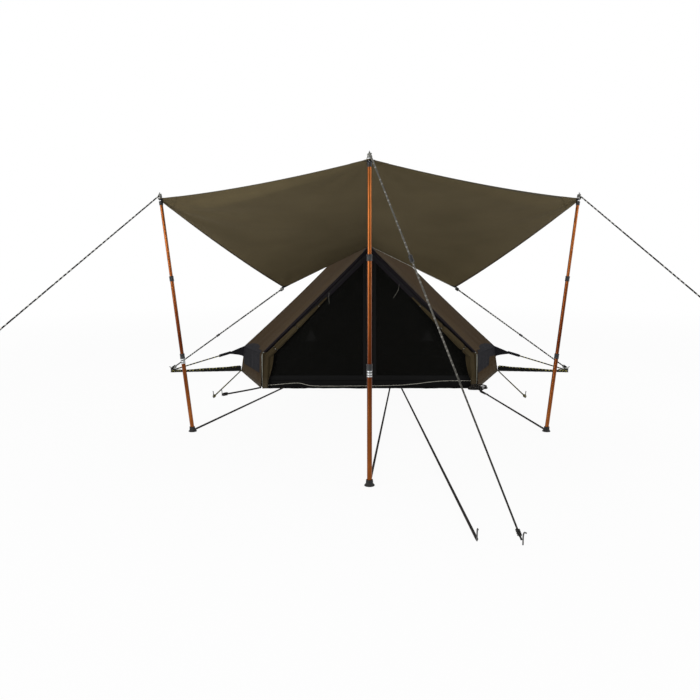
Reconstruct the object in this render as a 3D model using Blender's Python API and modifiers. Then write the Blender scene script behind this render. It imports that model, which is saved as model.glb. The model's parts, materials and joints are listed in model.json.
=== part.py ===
"""Canvas tent with an A-frame doorway under a tarpaulin awning on three telescopic poles.

The origin is on the ground under the tent's peak. +Y is the back, +X is the right, +Z is up.
All sizes are in metres.
"""
import math

import bmesh
import bpy
from mathutils import Matrix, Vector

# General
FIT = 0.0003                # gap between pieces that touch
SIDES = 20                  # sides of a turned piece
CLOTH = 0.002               # thickness of every canvas solid

# Tent plan and heights
FRONT_Y = -1.19
APEX_Z = 1.71
FRONT_EAVE_X = 1.30
FRONT_EAVE_Z = 0.43
FRONT_FOOT_X = 1.318
SIDE_EAVE_X = 1.72
SIDE_EAVE_Z = 0.35
SIDE_FOOT_X = 1.775
REAR_Y = 1.45
REAR_EAVE_X = 0.93
REAR_EAVE_Z = 0.33
REAR_SPLAY = 0.04
PEAK_Z = 2.03
PEAK_DROP = 0.008           # the ring where the roof panels end lies this far under the peak
PEAK_RING = 0.012
RIDGE_SHARE = 0.985         # share of the roof's front part whose top is the ridge, not the ring
SIDE_SAG = 0.040            # how far the roof hangs under a straight line from peak to eave
RIDGE_GAP = 0.0014          # half the gap between panels along the ridge
SEAM_GAP = 0.0008           # half the gap between the walls at the back
EAVE_GAP = 0.0016           # from the eave line down to the top of a wall

# Corner tie-out and its reinforcement
TAB_REACH = 0.23
TAB_RISE = 0.0040           # from the eave's line up to the tab's inner corner
TAB_TIP_Z = 0.25
TAB_ROOT_Z = 0.20
TAB_TIP = 0.008
TAB_THICK = 0.003
TAB_GAP = 0.0025            # from the eave's line out to the tab
PATCH_SHARE = 0.04          # share of the roof's slope under the black patch at its middle
PATCH_OVERHANG = 1.15       # the patch's lower edge, in shares of the patch, just past the eave
PATCH_START = 0.08          # share of the eave in front of the patch
PATCH_END = 1.25
PATCH_BACK = 0.3            # the patch's reach up the roof at the side seam
PATCH_TAPER = 3.2           # how fast the patch narrows behind the side seam
PATCH_LIFT = 0.0038         # straight up from the roof to the patch, middle to middle

# Doorway
SLEEVE_DEPTH = 0.028
SLEEVE_WIDTH = 0.088
SLEEVE_TAIL = 0.003
SLEEVE_BULGE = 0.027
SLEEVE_ROUND = 0.006
SLEEVE_RISE = 0.002
SLEEVE_STEP = 0.007         # from the sleeve's bulge to the flat cloth beside it
RAFTER_R = 0.011
RAFTER_GAP = 0.0006
RAFTER_INSET = 0.0125       # from the roof line in to the rafter's centre
BEND = 0.03                 # how far the round bend at the eave reaches along the pole
JOINT_GAP = 0.0125          # from the doorway's middle to where the right pole begins
PLUG_R = 0.0085
PLUG_LONG = 0.10
PLUG_GAP = 0.0006
MESH = 0.0015
MESH_INSET = 0.012          # from the roof line in to the mesh door's seam
MESH_HALF = 1.25
MESH_BOTTOM = 0.10
MESH_SPLIT = 0.001
SILL_HALF = 1.275
SILL_TOP = 0.095
SILL_THICK = 0.004
SILL_BACK = 0.0045
FLOOR_THICK = 0.002
FLOOR_INSET = 0.010
FLOOR_CORNER = 0.022        # from the wall's front corner in to the floor's
SLIDER = (0.010, 0.0065, 0.026)
SLIDER_EDGE = 0.0015
SLIDER_Z = 0.125

# Rolled canvas doors
ROLL_TOP_X = 0.56
ROLL_INSET = 0.074
ROLL_RADII = (0.009, 0.020, 0.030, 0.036, 0.031, 0.022)
ROLL_FOLDS = 4
ROLL_FOLD_DEPTH = 0.10
ROLL_TWIST = 2.2
ROLL_KNEE = 0.72            # share of the roll's way at which it turns down to the ground
ROLL_RINGS = 13
ROLL_SIDES = 16
ROLL_FOOT_X = 1.255
ROLL_FOOT_Z = 0.015

# Tent pole
TENT_POLE_R = 0.016
TENT_POLE_WALL = 0.0016
POLE_UNDER_RING = 0.0145    # from the roof's ring down to the shoulder of the pole's head
POLE_HEAD_R = 0.034
POLE_TIP_R = 0.007
POLE_TIP = 0.045
POLE_RIM = 0.008            # height of the head's straight rim
POLE_NECK = 0.020           # from the head or the foot's end to the bare pole
POLE_FOOT_RIM = 0.012

# Awning sheet
AWNING_SAG = 0.030          # of the front edge and of each strip beside it
AWNING_RIDGE_SAG = 0.030
AWNING_FRONT = Vector((0.0, -4.70, 2.277))
AWNING_SIDE = Vector((1.857, -3.20, 2.117))
AWNING_REAR = Vector((1.01, -1.195, 1.225))
AWNING_INSET = 0.018        # from a pole's axis out to the sheet's edge
AWNING_OVER_SLEEVE = 0.0008
PATCH_THICK = 0.0015        # of the reinforcement under the sheet at each pole
HOLE_GAP = 0.0005
HOLE_DEEP = 0.08            # of the tool that cuts a hole

# Telescopic poles
CENTER_FOOT = Vector((0.0, -4.70, 0.0))
SIDE_FOOT = Vector((1.648, -3.20, 0.0))
TUBE_RADII = (0.018, 0.016, 0.014)
TUBE_WALL = 0.0014
TURN_GAP = 0.0006           # round a tube, inside a collar
INSERTED = 0.12             # length of each tube hidden inside the next one down
CENTER_COLLARS = (0.841, 1.605)
SIDE_COLLARS = (0.686, 1.394)
COLLAR_LONG = 0.046
COLLAR_LIP = 0.014
COLLAR_WALL = 0.004
EDGE_IN = 0.0015            # of a collar's eased edge, across and along
EDGE_LONG = 0.003
BAND_LONG = 0.045
BAND_WALL = 0.0008
FOOT_R = 0.038
FOOT_NECK_R = 0.025
FOOT_HIGH = 0.045
FOOT_FLOOR = 0.009
CAP_R = 0.0175
CAP_LONG = 0.036
CAP_TOP = 0.006
CAP_EDGE = 0.002
SPIGOT_R = 0.005
SPIGOT_RISE = 0.066

# Cords, straps and pegs
GUY_R = 0.006
THIN_R = 0.0085
GROUND_R = 0.009
CORD_POINTS = 6
GUY_HEIGHT = 0.034          # of a guyline's loop above the awning on its spigot
PEG_R = 0.0045
PEG_HIGH = 0.078
PEG_HOOK = 0.022
PEG_CATCH = 0.026           # height at which a cord meets its peg
REAR_CATCH = 0.046
EAVE_CATCH = 0.028
STRAP_LOW = 0.0006
STRAP_HIGH = 0.070
STRAP_END = 0.018           # the strap is this high where it is gathered at its peg
STRAP_THICK = 0.002
CENTER_PEG = Vector((0.885, -5.72, 0.0))
SIDE_PEG = Vector((3.62, -5.62, 0.0))
TENT_PEG = Vector((2.72, -0.10, 0.0))
FRONT_PEG = Vector((0.628, -5.665, 0.0))
LEFT_FOOT_CORD_X = -1.04
CENTER_FOOT_CORD_X = 0.25
FRONT_CORD_X = 0.385
FRONT_CORD_SLANT = 0.06
RUNNER_R = 0.0145
RUNNER_GAP = 0.0008
RUNNER_LONG = 0.050
RUNNER_EDGE = (0.003, 0.008)    # of its tapered ends, across and along
CENTER_RUNNER_AT = 0.30     # share of the guyline from its upper end
REAR_RUNNER_AT = 0.55

# Colours
CANVAS = (0.072, 0.060, 0.042)
BLACK_CLOTH = (0.012, 0.012, 0.013)
COPPER = (0.62, 0.20, 0.06)
BLACK_PLASTIC = (0.015, 0.015, 0.016)
STEEL = (0.62, 0.62, 0.64)
GREY_METAL = (0.42, 0.43, 0.44)
RUBBER = (0.02, 0.02, 0.02)
CORD_BLACK = (0.03, 0.03, 0.028)
CORD_PALE = (0.45, 0.45, 0.43)


def clear_scene():
    for item in list(bpy.data.objects):
        bpy.data.objects.remove(item)


def collection(name):
    made = bpy.data.collections.new(name)
    bpy.context.scene.collection.children.link(made)
    return made


clear_scene()
PARTS = collection("canvas_tent_with_awning")
CUTTERS = collection("cutters")


def material(name, colour, roughness, metallic=0.0):
    made = bpy.data.materials.get(name)
    if made:
        return made
    made = bpy.data.materials.new(name)
    made.use_nodes = True
    shader = made.node_tree.nodes["Principled BSDF"]
    shader.inputs["Base Color"].default_value = (*colour, 1.0)
    shader.inputs["Roughness"].default_value = roughness
    shader.inputs["Metallic"].default_value = metallic
    return made


CANVAS_MAT = material("canvas", CANVAS, 0.85)
BLACK_CLOTH_MAT = material("black_cloth", BLACK_CLOTH, 0.9)
COPPER_MAT = material("copper_anodised", COPPER, 0.3, 1.0)
PLASTIC_MAT = material("black_plastic", BLACK_PLASTIC, 0.5)
STEEL_MAT = material("steel", STEEL, 0.3, 1.0)
GREY_MAT = material("grey_aluminium", GREY_METAL, 0.4, 1.0)
RUBBER_MAT = material("rubber", RUBBER, 0.8)
CORD_MAT = material("black_cord", CORD_BLACK, 0.9)
PALE_CORD_MAT = material("pale_cord", CORD_PALE, 0.8)


def add(name, data, look, group=PARTS):
    item = bpy.data.objects.new(name, data)
    item.data.materials.append(look)
    group.objects.link(item)
    return item


def mesh_object(name, build, look, group=PARTS):
    mesh = bpy.data.meshes.new(name)
    work = bmesh.new()
    build(work)
    work.to_mesh(mesh)
    work.free()
    return add(name, mesh, look, group)


def smooth(item, angle=40.0):
    item.data.shade_smooth()
    item.data.set_sharp_from_angle(angle=math.radians(angle))


def evaluated_mesh(item):
    """A plain mesh of what an object's modifiers or bevel make of it, in world space."""
    bpy.context.view_layer.update()
    graph = bpy.context.evaluated_depsgraph_get()
    mesh = bpy.data.meshes.new_from_object(item.evaluated_get(graph))
    mesh.transform(item.matrix_world)
    work = bmesh.new()
    work.from_mesh(mesh)
    bmesh.ops.remove_doubles(work, verts=work.verts, dist=0.00001)
    work.to_mesh(mesh)
    work.free()
    return mesh


def as_mesh(item, group=PARTS):
    """The same object with its modifiers or its bevel made real."""
    name = item.name
    look = item.data.materials[0]
    mesh = evaluated_mesh(item)
    mesh.materials.clear()
    bpy.data.objects.remove(item)
    return add(name, mesh, look, group)


def hide_as_cutter(item):
    item.hide_render = True
    item.display_type = "WIRE"
    return item


def unite(item, other):
    """Makes two overlapping solids one. The second becomes a guide that isn't part of the object."""
    other.name = item.name + "_added"
    for group in list(other.users_collection):
        group.objects.unlink(other)
    CUTTERS.objects.link(hide_as_cutter(other))
    union = item.modifiers.new("union", "BOOLEAN")
    union.operation = "UNION"
    union.solver = "EXACT"
    union.object = other
    return item


def place(item, origin, axis=Vector((0.0, 0.0, 1.0))):
    item.location = origin
    item.rotation_mode = "QUATERNION"
    item.rotation_quaternion = Vector(axis).to_track_quat("Z", "Y")
    return item


def lathe(name, profile, look, origin=(0, 0, 0), axis=(0, 0, 1), closed=True, group=PARTS):
    """A turned solid. The profile is (radius, height), down the outside first."""
    def build(work):
        points = [work.verts.new((radius, 0.0, height)) for radius, height in profile]
        pairs = list(zip(points, points[1:]))
        if closed:
            pairs.append((points[-1], points[0]))
        for pair in pairs:
            work.edges.new(pair)
    item = mesh_object(name, build, look, group)
    turn = item.modifiers.new("turn", "SCREW")
    turn.axis = "Z"
    turn.angle = math.tau
    turn.steps = SIDES
    turn.render_steps = SIDES
    turn.use_merge_vertices = True
    turn.merge_threshold = 0.00001
    turn.use_smooth_shade = True
    return place(item, Vector(origin), Vector(axis))


def tube(name, start, end, radius, wall, look):
    """A hollow tube between two points."""
    start = Vector(start)
    axis = Vector(end) - start
    length = axis.length
    inner = radius - wall
    profile = [(radius, length), (radius, 0.0), (inner, 0.0), (inner, length)]
    return lathe(name, profile, look, start, axis)


def solidify(item, thickness):
    wall = item.modifiers.new("thickness", "SOLIDIFY")
    wall.thickness = thickness
    wall.offset = 0.0
    return item


def cloth(name, surface, columns, rows, look, thickness=CLOTH):
    """A sheet whose point (u, v), both from 0 to 1, lies at surface(u, v)."""
    def build(work):
        bmesh.ops.create_grid(work, x_segments=columns, y_segments=rows, size=0.5)
        for vert in work.verts:
            vert.co = surface(vert.co.x + 0.5, vert.co.y + 0.5)
    item = mesh_object(name, build, look)
    smooth(item)
    return solidify(item, thickness)


def plate(name, corners, thickness, look):
    """A flat plate on an outline of a few corners."""
    def build(work):
        work.faces.new([work.verts.new(corner) for corner in corners])
    return solidify(mesh_object(name, build, look), thickness)


def cord(name, points, radius, look):
    """A round cord or rod along a line of points, with closed ends."""
    data = bpy.data.curves.new(name, "CURVE")
    data.dimensions = "3D"
    data.bevel_depth = radius
    data.bevel_resolution = 2
    data.use_fill_caps = True
    line = data.splines.new("POLY")
    line.points.add(len(points) - 1)
    for point, at in zip(line.points, points):
        point.co = (*at, 1.0)
    return add(name, data, look)


def straight(start, end, count=CORD_POINTS):
    return [Vector(start).lerp(Vector(end), i / (count - 1)) for i in range(count)]


def prism(name, outlines, length, matrix, look):
    """Flat outlines, the first round the others, extruded along the matrix's Z."""
    data = bpy.data.curves.new(name, "CURVE")
    data.dimensions = "2D"
    data.fill_mode = "BOTH"
    data.extrude = length / 2
    for outline in outlines:
        line = data.splines.new("POLY")
        line.points.add(len(outline) - 1)
        line.use_cyclic_u = True
        for point, (x, y) in zip(line.points, outline):
            point.co = (x, y, 0.0, 1.0)
    source = add(name + "_outline", data, look)
    source.matrix_world = matrix @ Matrix.Translation((0.0, 0.0, length / 2))
    mesh = evaluated_mesh(source)
    bpy.data.objects.remove(source)
    return add(name, mesh, look)


def cutter(name, build):
    return hide_as_cutter(mesh_object(name, build, PLASTIC_MAT, CUTTERS))


def cut(item, tool):
    hole = item.modifiers.new("cut", "BOOLEAN")
    hole.operation = "DIFFERENCE"
    hole.solver = "EXACT"
    hole.object = tool
    return item


def ring_points(radius, count, centre=(0.0, 0.0)):
    return [
        (centre[0] + radius * math.cos(math.tau * i / count),
         centre[1] + radius * math.sin(math.tau * i / count))
        for i in range(count)
    ]


def mirrored(point, side):
    return Vector((point[0] * side, point[1], point[2]))


def mix(a, b, share):
    return Vector(a).lerp(Vector(b), share)


# Tent roof and walls

RING_Z = PEAK_Z - PEAK_DROP
FRONT_APEX = Vector((0.0, FRONT_Y, APEX_Z))
FRONT_EAVE = Vector((FRONT_EAVE_X, FRONT_Y, FRONT_EAVE_Z))
SIDE_EAVE = Vector((SIDE_EAVE_X, 0.0, SIDE_EAVE_Z))
REAR_EAVE = Vector((REAR_EAVE_X, REAR_Y, REAR_EAVE_Z))
REAR_EAVE_MIDDLE = Vector((0.0, REAR_Y, REAR_EAVE_Z))
FRONT_FOOT = Vector((FRONT_FOOT_X, FRONT_Y, 0.0))
SIDE_WALL_FOOT = Vector((SIDE_FOOT_X, 0.0, 0.0))
REAR_WALL_FOOT = Vector((REAR_EAVE_X + REAR_SPLAY, REAR_Y + REAR_SPLAY, 0.0))
REAR_WALL_MIDDLE = Vector((0.0, REAR_Y + REAR_SPLAY, 0.0))
REAR_RING_TURN = math.radians(50.0)
RING_SIDE = Vector((PEAK_RING, 0.0, RING_Z))
RING_FRONT = Vector((0.0, -PEAK_RING, RING_Z))
RING_CORNER = Vector((PEAK_RING * math.cos(REAR_RING_TURN),
                      PEAK_RING * math.sin(REAR_RING_TURN), RING_Z))
RING_REAR = Vector((0.0, PEAK_RING, RING_Z))


def hang(u):
    """How far a seam hangs at share u of its way down."""
    return Vector((0.0, 0.0, -SIDE_SAG * 4 * u * (1 - u) * (1.2 - 0.4 * u)))


def roof_point(u, w):
    """A point of the right half of the roof.

    u runs from the top to the eave. w runs from the doorway (0) past the side corner (1) and
    the rear corner (2) to the middle of the back (3).
    """
    if w <= 1:
        if w <= RIDGE_SHARE:
            top = mix(FRONT_APEX, RING_FRONT, w / RIDGE_SHARE)
        else:
            top = mix(RING_FRONT, RING_SIDE, (w - RIDGE_SHARE) / (1 - RIDGE_SHARE))
        low = mix(FRONT_EAVE, SIDE_EAVE, w)
        return mix(top, low, u) + hang(u) * w ** 1.5
    if w <= 2:
        top = mix(RING_SIDE, RING_CORNER, w - 1)
        low = mix(SIDE_EAVE, REAR_EAVE, w - 1)
    else:
        top = mix(RING_CORNER, RING_REAR, w - 2)
        low = mix(REAR_EAVE, REAR_EAVE_MIDDLE, w - 2)
    return mix(top, low, u) + hang(u)


def wall_point(u, w):
    """A point of the right half of the wall: u runs down to the ground, w as on the roof."""
    eaves = (FRONT_EAVE, SIDE_EAVE, REAR_EAVE, REAR_EAVE_MIDDLE)
    feet = (FRONT_FOOT, SIDE_WALL_FOOT, REAR_WALL_FOOT, REAR_WALL_MIDDLE)
    first = min(int(w), 2)
    top = mix(eaves[first], eaves[first + 1], w - first) - Vector((0.0, 0.0, EAVE_GAP))
    foot = mix(feet[first], feet[first + 1], w - first) + Vector((0.0, 0.0, FIT))
    return mix(top, foot, u)


def band_cloth(name, surface, side, rows, stops, look, lift=0.0):
    """A sheet over a surface, mirrored to its side, with a column at each stop along it."""
    raised = Vector((0.0, 0.0, lift))

    def build(work):
        columns = [
            [work.verts.new(mirrored(surface(row, stop), side) + raised) for row in rows]
            for stop in stops
        ]
        for before, after in zip(columns, columns[1:]):
            for k in range(len(rows) - 1):
                for corners in ([before[k], before[k + 1], after[k + 1]],
                                [before[k], after[k + 1], after[k]]):
                    work.faces.new(corners if side < 0 else list(reversed(corners)))
    item = mesh_object(name, build, look)
    smooth(item)
    return solidify(item, CLOTH)


def shares(count, first=0.0, last=1.0):
    return [first + (last - first) * i / count for i in range(count + 1)]


def kept_off_middle(surface, gap):
    """The surface with every point at least a gap away from the tent's middle plane."""
    def point(u, w):
        at = surface(u, w)
        at.x = max(at.x, gap)
        return at
    return point


def patch_stops():
    """The columns that the corner patches share with the roof."""
    return shares(9, PATCH_START, RIDGE_SHARE) + shares(2, 1.0, PATCH_END)


def build_roof():
    rows = shares(7, 0.0, 1.0 - PATCH_SHARE) + shares(2, 1.0 - PATCH_SHARE, 1.0)[1:]
    stops = [0.0] + patch_stops() + shares(3, PATCH_END, 2.0)[1:] + shares(2, 2.0, 3.0)[1:]
    for side, word in ((-1, "left"), (1, "right")):
        band_cloth(f"{word}_roof", kept_off_middle(roof_point, RIDGE_GAP), side, rows, stops,
                   CANVAS_MAT)


def build_walls():
    stops = shares(3) + shares(3, 1.0, 2.0)[1:] + shares(2, 2.0, 3.0)[1:]
    for side, word in ((-1, "left"), (1, "right")):
        band_cloth(f"{word}_wall", kept_off_middle(wall_point, SEAM_GAP), side, shares(2), stops,
                   CANVAS_MAT)


def build_corner_patches():
    """The black reinforcement over each side corner, with the tab that its guyline pulls on."""
    lean = (SIDE_FOOT_X - SIDE_EAVE_X) / SIDE_EAVE_Z
    for side, word in ((-1, "left"), (1, "right")):
        def over_roof(u, w):
            front, back = min(w, 1.0), max(w - 1.0, 0.0)
            high = math.sin(math.pi * front) + PATCH_BACK * (front - PATCH_TAPER * back)
            down = PATCH_OVERHANG - (PATCH_OVERHANG - 1 + high) * u
            middle = roof_point(1 - PATCH_SHARE / 2, w)
            if down < 0.5:
                return mix(roof_point(1 - PATCH_SHARE, w), middle, 2 * down)
            return mix(middle, roof_point(1, w), 2 * down - 1)
        patch = band_cloth(f"{word}_corner_patch", over_roof, side, shares(2), patch_stops(),
                           BLACK_CLOTH_MAT, PATCH_LIFT)
        tip_x = SIDE_EAVE_X + TAB_REACH
        corners = [
            (SIDE_EAVE_X + TAB_GAP, 0.0, SIDE_EAVE_Z + TAB_RISE),
            (tip_x, 0.0, TAB_TIP_Z + TAB_TIP / 2),
            (tip_x, 0.0, TAB_TIP_Z - TAB_TIP / 2),
            (SIDE_EAVE_X + lean * (SIDE_EAVE_Z - TAB_ROOT_Z) + TAB_GAP, 0.0, TAB_ROOT_Z),
        ]
        tab = plate("tab", [mirrored(c, side) for c in corners], TAB_THICK, BLACK_CLOTH_MAT)
        unite(patch, tab)


# Doorway

SLOPE = (FRONT_EAVE - FRONT_APEX).normalized()
INWARD = Vector((SLOPE.z, 0.0, -SLOPE.x))
SLOPE_LONG = (FRONT_EAVE - FRONT_APEX).length
SLEEVE_BACK_Y = FRONT_Y - FIT
RAFTER_Y = SLEEVE_BACK_Y - SLEEVE_DEPTH / 2


def doorway_point(inset_by, along, y):
    """A point on the right of the doorway, in from the roof line and down along it."""
    at = FRONT_APEX + INWARD * inset_by + SLOPE * along
    return Vector((at.x, y, at.z))


def rafter_start():
    """Distance along the rafter's line at which it crosses the tent's middle."""
    return -(INWARD.x * RAFTER_INSET) / SLOPE.x


def build_sleeves():
    back = SLEEVE_DEPTH
    outline = [
        (-SLEEVE_RISE, back), (-SLEEVE_RISE, SLEEVE_ROUND), (SLEEVE_ROUND - SLEEVE_RISE, 0.0),
        (SLEEVE_BULGE - SLEEVE_ROUND, 0.0), (SLEEVE_BULGE, SLEEVE_ROUND),
        (SLEEVE_BULGE + SLEEVE_STEP, back - SLEEVE_TAIL),
        (SLEEVE_WIDTH, back - SLEEVE_TAIL), (SLEEVE_WIDTH, back),
    ]
    bore = ring_points(RAFTER_R + RAFTER_GAP, SIDES, (RAFTER_INSET, SLEEVE_DEPTH / 2))
    extra = 0.10
    start = Vector((0.0, SLEEVE_BACK_Y - SLEEVE_DEPTH, APEX_Z)) - SLOPE * extra
    matrix = Matrix((
        (INWARD.x, 0.0, SLOPE.x, start.x),
        (INWARD.y, 1.0, SLOPE.y, start.y),
        (INWARD.z, 0.0, SLOPE.z, start.z),
        (0.0, 0.0, 0.0, 1.0),
    ))
    item = prism("door_sleeves", [outline, bore], SLOPE_LONG + extra - BEND, matrix,
                 BLACK_CLOTH_MAT)
    mirror = item.modifiers.new("left", "MIRROR")
    mirror.use_bisect_axis[0] = True
    mirror.merge_threshold = 0.00005


def build_door_poles():
    """The A-frame inside the sleeves: two bent poles, the left one plugged into the right one."""
    top = doorway_point(RAFTER_INSET, rafter_start(), RAFTER_Y)
    bend = doorway_point(RAFTER_INSET, SLOPE_LONG, RAFTER_Y)
    foot = Vector((bend.x, bend.y, 0.0))
    up = -SLOPE * BEND
    down = Vector((0.0, 0.0, -BEND))
    round_bend = [bend + up, bend + up * 0.4 + down * 0.1, bend + down * 0.4 + up * 0.1,
                  bend + down]
    left_top = mirrored(top, -1)
    route = [top + SLOPE * JOINT_GAP] + round_bend + [foot]
    left = [mirrored(at, -1) for at in route]
    left_pole = as_mesh(cord("left_door_pole", left, RAFTER_R, GREY_MAT))
    right_pole = as_mesh(cord("right_door_pole", route, RAFTER_R, GREY_MAT))
    left_slope = mirrored(SLOPE, -1)
    plug = [left_top + left_slope * JOINT_GAP * 2, left_top, top + SLOPE * PLUG_LONG]
    unite(left_pole, as_mesh(cord("plug", plug, PLUG_R, GREY_MAT)))
    socket = [top - SLOPE * JOINT_GAP, top + SLOPE * (PLUG_LONG + JOINT_GAP)]
    cut(right_pole, hide_as_cutter(as_mesh(cord("socket", socket, PLUG_R + PLUG_GAP, GREY_MAT),
                                           CUTTERS)))


def mesh_seam_z(x):
    """Height of the mesh door's slanted seam over a place on the sill."""
    return APEX_Z + (SLOPE.z / SLOPE.x) * x - MESH_INSET / SLOPE.x


def build_mesh_doors():
    y = FRONT_Y + MESH / 2
    for side, word in ((-1, "left"), (1, "right")):
        corners = [
            (MESH_SPLIT, y, mesh_seam_z(MESH_SPLIT)),
            (MESH_HALF, y, mesh_seam_z(MESH_HALF)),
            (MESH_HALF, y, MESH_BOTTOM),
            (MESH_SPLIT, y, MESH_BOTTOM),
        ]
        plate(f"{word}_mesh_door", [mirrored(c, side) for c in corners], MESH, BLACK_CLOTH_MAT)

    def block(work):
        bmesh.ops.create_cube(work, size=1.0)
        bmesh.ops.scale(work, verts=work.verts, vec=SLIDER)
    slider = mesh_object("zip_slider", block, STEEL_MAT)
    slider.location = (-MESH_SPLIT - SLIDER[0] / 2, FRONT_Y - FIT - SLIDER[1] / 2, SLIDER_Z)
    bevel = slider.modifiers.new("edges", "BEVEL")
    bevel.width = SLIDER_EDGE
    bevel.segments = 1


def build_floor():
    """The groundsheet inside the walls, with the strip that stands up in the doorway."""
    z = FLOOR_THICK / 2
    half = [
        (FRONT_FOOT_X - FLOOR_CORNER, FRONT_Y + FLOOR_INSET),
        (SIDE_FOOT_X - FLOOR_INSET, 0.0),
        (REAR_WALL_FOOT.x - FLOOR_INSET, REAR_WALL_FOOT.y - FLOOR_INSET),
    ]
    outline = [(x, y, z) for x, y in half] + [(-x, y, z) for x, y in reversed(half)]
    sheet = plate("groundsheet", outline, FLOOR_THICK, BLACK_CLOTH_MAT)

    def strip(work):
        bmesh.ops.create_cube(work, size=1.0)
        high = SILL_TOP - FLOOR_THICK / 2
        size = (2 * SILL_HALF, SILL_THICK, high)
        bmesh.ops.scale(work, verts=work.verts, vec=size)
        shift = (0.0, FRONT_Y + FLOOR_INSET + SILL_BACK, SILL_TOP - high / 2)
        bmesh.ops.translate(work, verts=work.verts, vec=shift)
    unite(sheet, mesh_object("sill", strip, BLACK_CLOTH_MAT))


def roll_radius(share):
    """The roll's thickness along its way, from a smooth line through its radii."""
    place_on = share * (len(ROLL_RADII) - 1)
    low = min(int(place_on), len(ROLL_RADII) - 2)
    part = place_on - low
    part = part * part * (3 - 2 * part)
    return ROLL_RADII[low] + (ROLL_RADII[low + 1] - ROLL_RADII[low]) * part


def roll_centre(share):
    """The middle of the tied-back door: down the doorway's edge, then down to the ground."""
    slant = (FRONT_EAVE_X - ROLL_TOP_X) / SLOPE.x
    top_along = ROLL_TOP_X / SLOPE.x
    knee = doorway_point(ROLL_INSET, top_along + slant - BEND, 0.0)
    if share < ROLL_KNEE:
        at = mix(doorway_point(ROLL_INSET, top_along, 0.0), knee, share / ROLL_KNEE)
    else:
        past = (share - ROLL_KNEE) / (1 - ROLL_KNEE)
        at = mix(knee, (ROLL_FOOT_X, 0.0, ROLL_FOOT_Z), past)
    radius = roll_radius(share) * (1 + ROLL_FOLD_DEPTH) + FIT
    aside = ROLL_INSET - SLEEVE_BULGE
    over_bulge = math.sqrt(max(radius ** 2 - aside ** 2, 0.0))
    at.y = min(SLEEVE_BACK_Y - SLEEVE_TAIL - radius,
               SLEEVE_BACK_Y - SLEEVE_DEPTH + SLEEVE_ROUND - over_bulge)
    return at


def build_door_rolls():
    """Each canvas door, rolled and tied to the doorway, with its main folds."""
    step = 0.04
    for side, word in ((-1, "left"), (1, "right")):
        def loft(work, side=side):
            loops = []
            for share in shares(ROLL_RINGS - 1):
                before = roll_centre(max(share - step, 0.0))
                after = roll_centre(min(share + step, 1.0))
                along = Vector((after.x - before.x, 0.0, after.z - before.z)).normalized()
                across = along.cross(Vector((0.0, 1.0, 0.0))).normalized()
                radius = roll_radius(share)
                ring = []
                for k in range(ROLL_SIDES):
                    turn = math.tau * k / ROLL_SIDES
                    fold = 1 + ROLL_FOLD_DEPTH * math.cos(ROLL_FOLDS * turn + ROLL_TWIST * share)
                    out = across * math.cos(turn) + Vector((0.0, 1.0, 0.0)) * math.sin(turn)
                    point = roll_centre(share) + out * radius * fold
                    ring.append(work.verts.new(mirrored(point, side)))
                loops.append(ring)
            for upper, lower in zip(loops, loops[1:]):
                for k in range(ROLL_SIDES):
                    after_k = (k + 1) % ROLL_SIDES
                    work.faces.new((upper[k], upper[after_k], lower[after_k], lower[k]))
            work.faces.new(loops[0])
            work.faces.new(list(reversed(loops[-1])))
            bmesh.ops.recalc_face_normals(work, faces=work.faces)
        item = mesh_object(f"{word}_door_roll", loft, CANVAS_MAT)
        smooth(item, 60.0)


def build_tent_pole():
    """The pole under the peak, one turned piece that is open at its foot."""
    foot_z = FLOOR_THICK + FIT
    head_z = RING_Z - POLE_UNDER_RING
    bore = TENT_POLE_R - TENT_POLE_WALL
    profile = [
        (0.0, head_z + POLE_TIP), (POLE_TIP_R, head_z + POLE_TIP), (POLE_TIP_R, head_z),
        (POLE_HEAD_R, head_z - POLE_HEAD_R), (POLE_HEAD_R, head_z - POLE_HEAD_R - POLE_RIM),
        (TENT_POLE_R, head_z - POLE_HEAD_R - POLE_NECK), (TENT_POLE_R, foot_z + POLE_NECK),
        (POLE_HEAD_R, foot_z + POLE_FOOT_RIM), (POLE_HEAD_R, foot_z), (bore, foot_z),
        (bore, head_z - POLE_HEAD_R), (0.0, head_z - POLE_HEAD_R),
    ]
    lathe("tent_pole", profile, GREY_MAT, closed=False)


# Awning

def awning_point(u, v):
    """u runs from the ridge to the right side, v from the tent to the front edge."""
    ridge = mix(REAR_MIDDLE, AWNING_FRONT, v)
    side = mix(AWNING_REAR, AWNING_SIDE, v)
    at = mix(ridge, side, u)
    at.z -= AWNING_SAG * 4 * u * (1 - u) * v
    at.z -= AWNING_RIDGE_SAG * 4 * v * (1 - v)
    return at


SLEEVE_TOP_Z = APEX_Z + SLEEVE_RISE / SLOPE.x
REAR_MIDDLE = Vector((0.0, AWNING_REAR.y, SLEEVE_TOP_Z + CLOTH / 2 + AWNING_OVER_SLEEVE))
AWNING_WIDER = 1 + AWNING_INSET / (AWNING_SIDE - AWNING_FRONT).length
AWNING_LONGER = 1 + AWNING_INSET / (AWNING_SIDE - AWNING_REAR).length


def pole_axis(foot, head):
    return (Vector(head) - Vector(foot)).normalized()


def head_hole(name, head, axis):
    def build(work):
        radius = SPIGOT_R + HOLE_GAP
        bmesh.ops.create_cone(work, cap_ends=True, segments=12, radius1=radius, radius2=radius,
                              depth=HOLE_DEEP)
    item = cutter(name, build)
    return place(item, head, axis)


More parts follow.
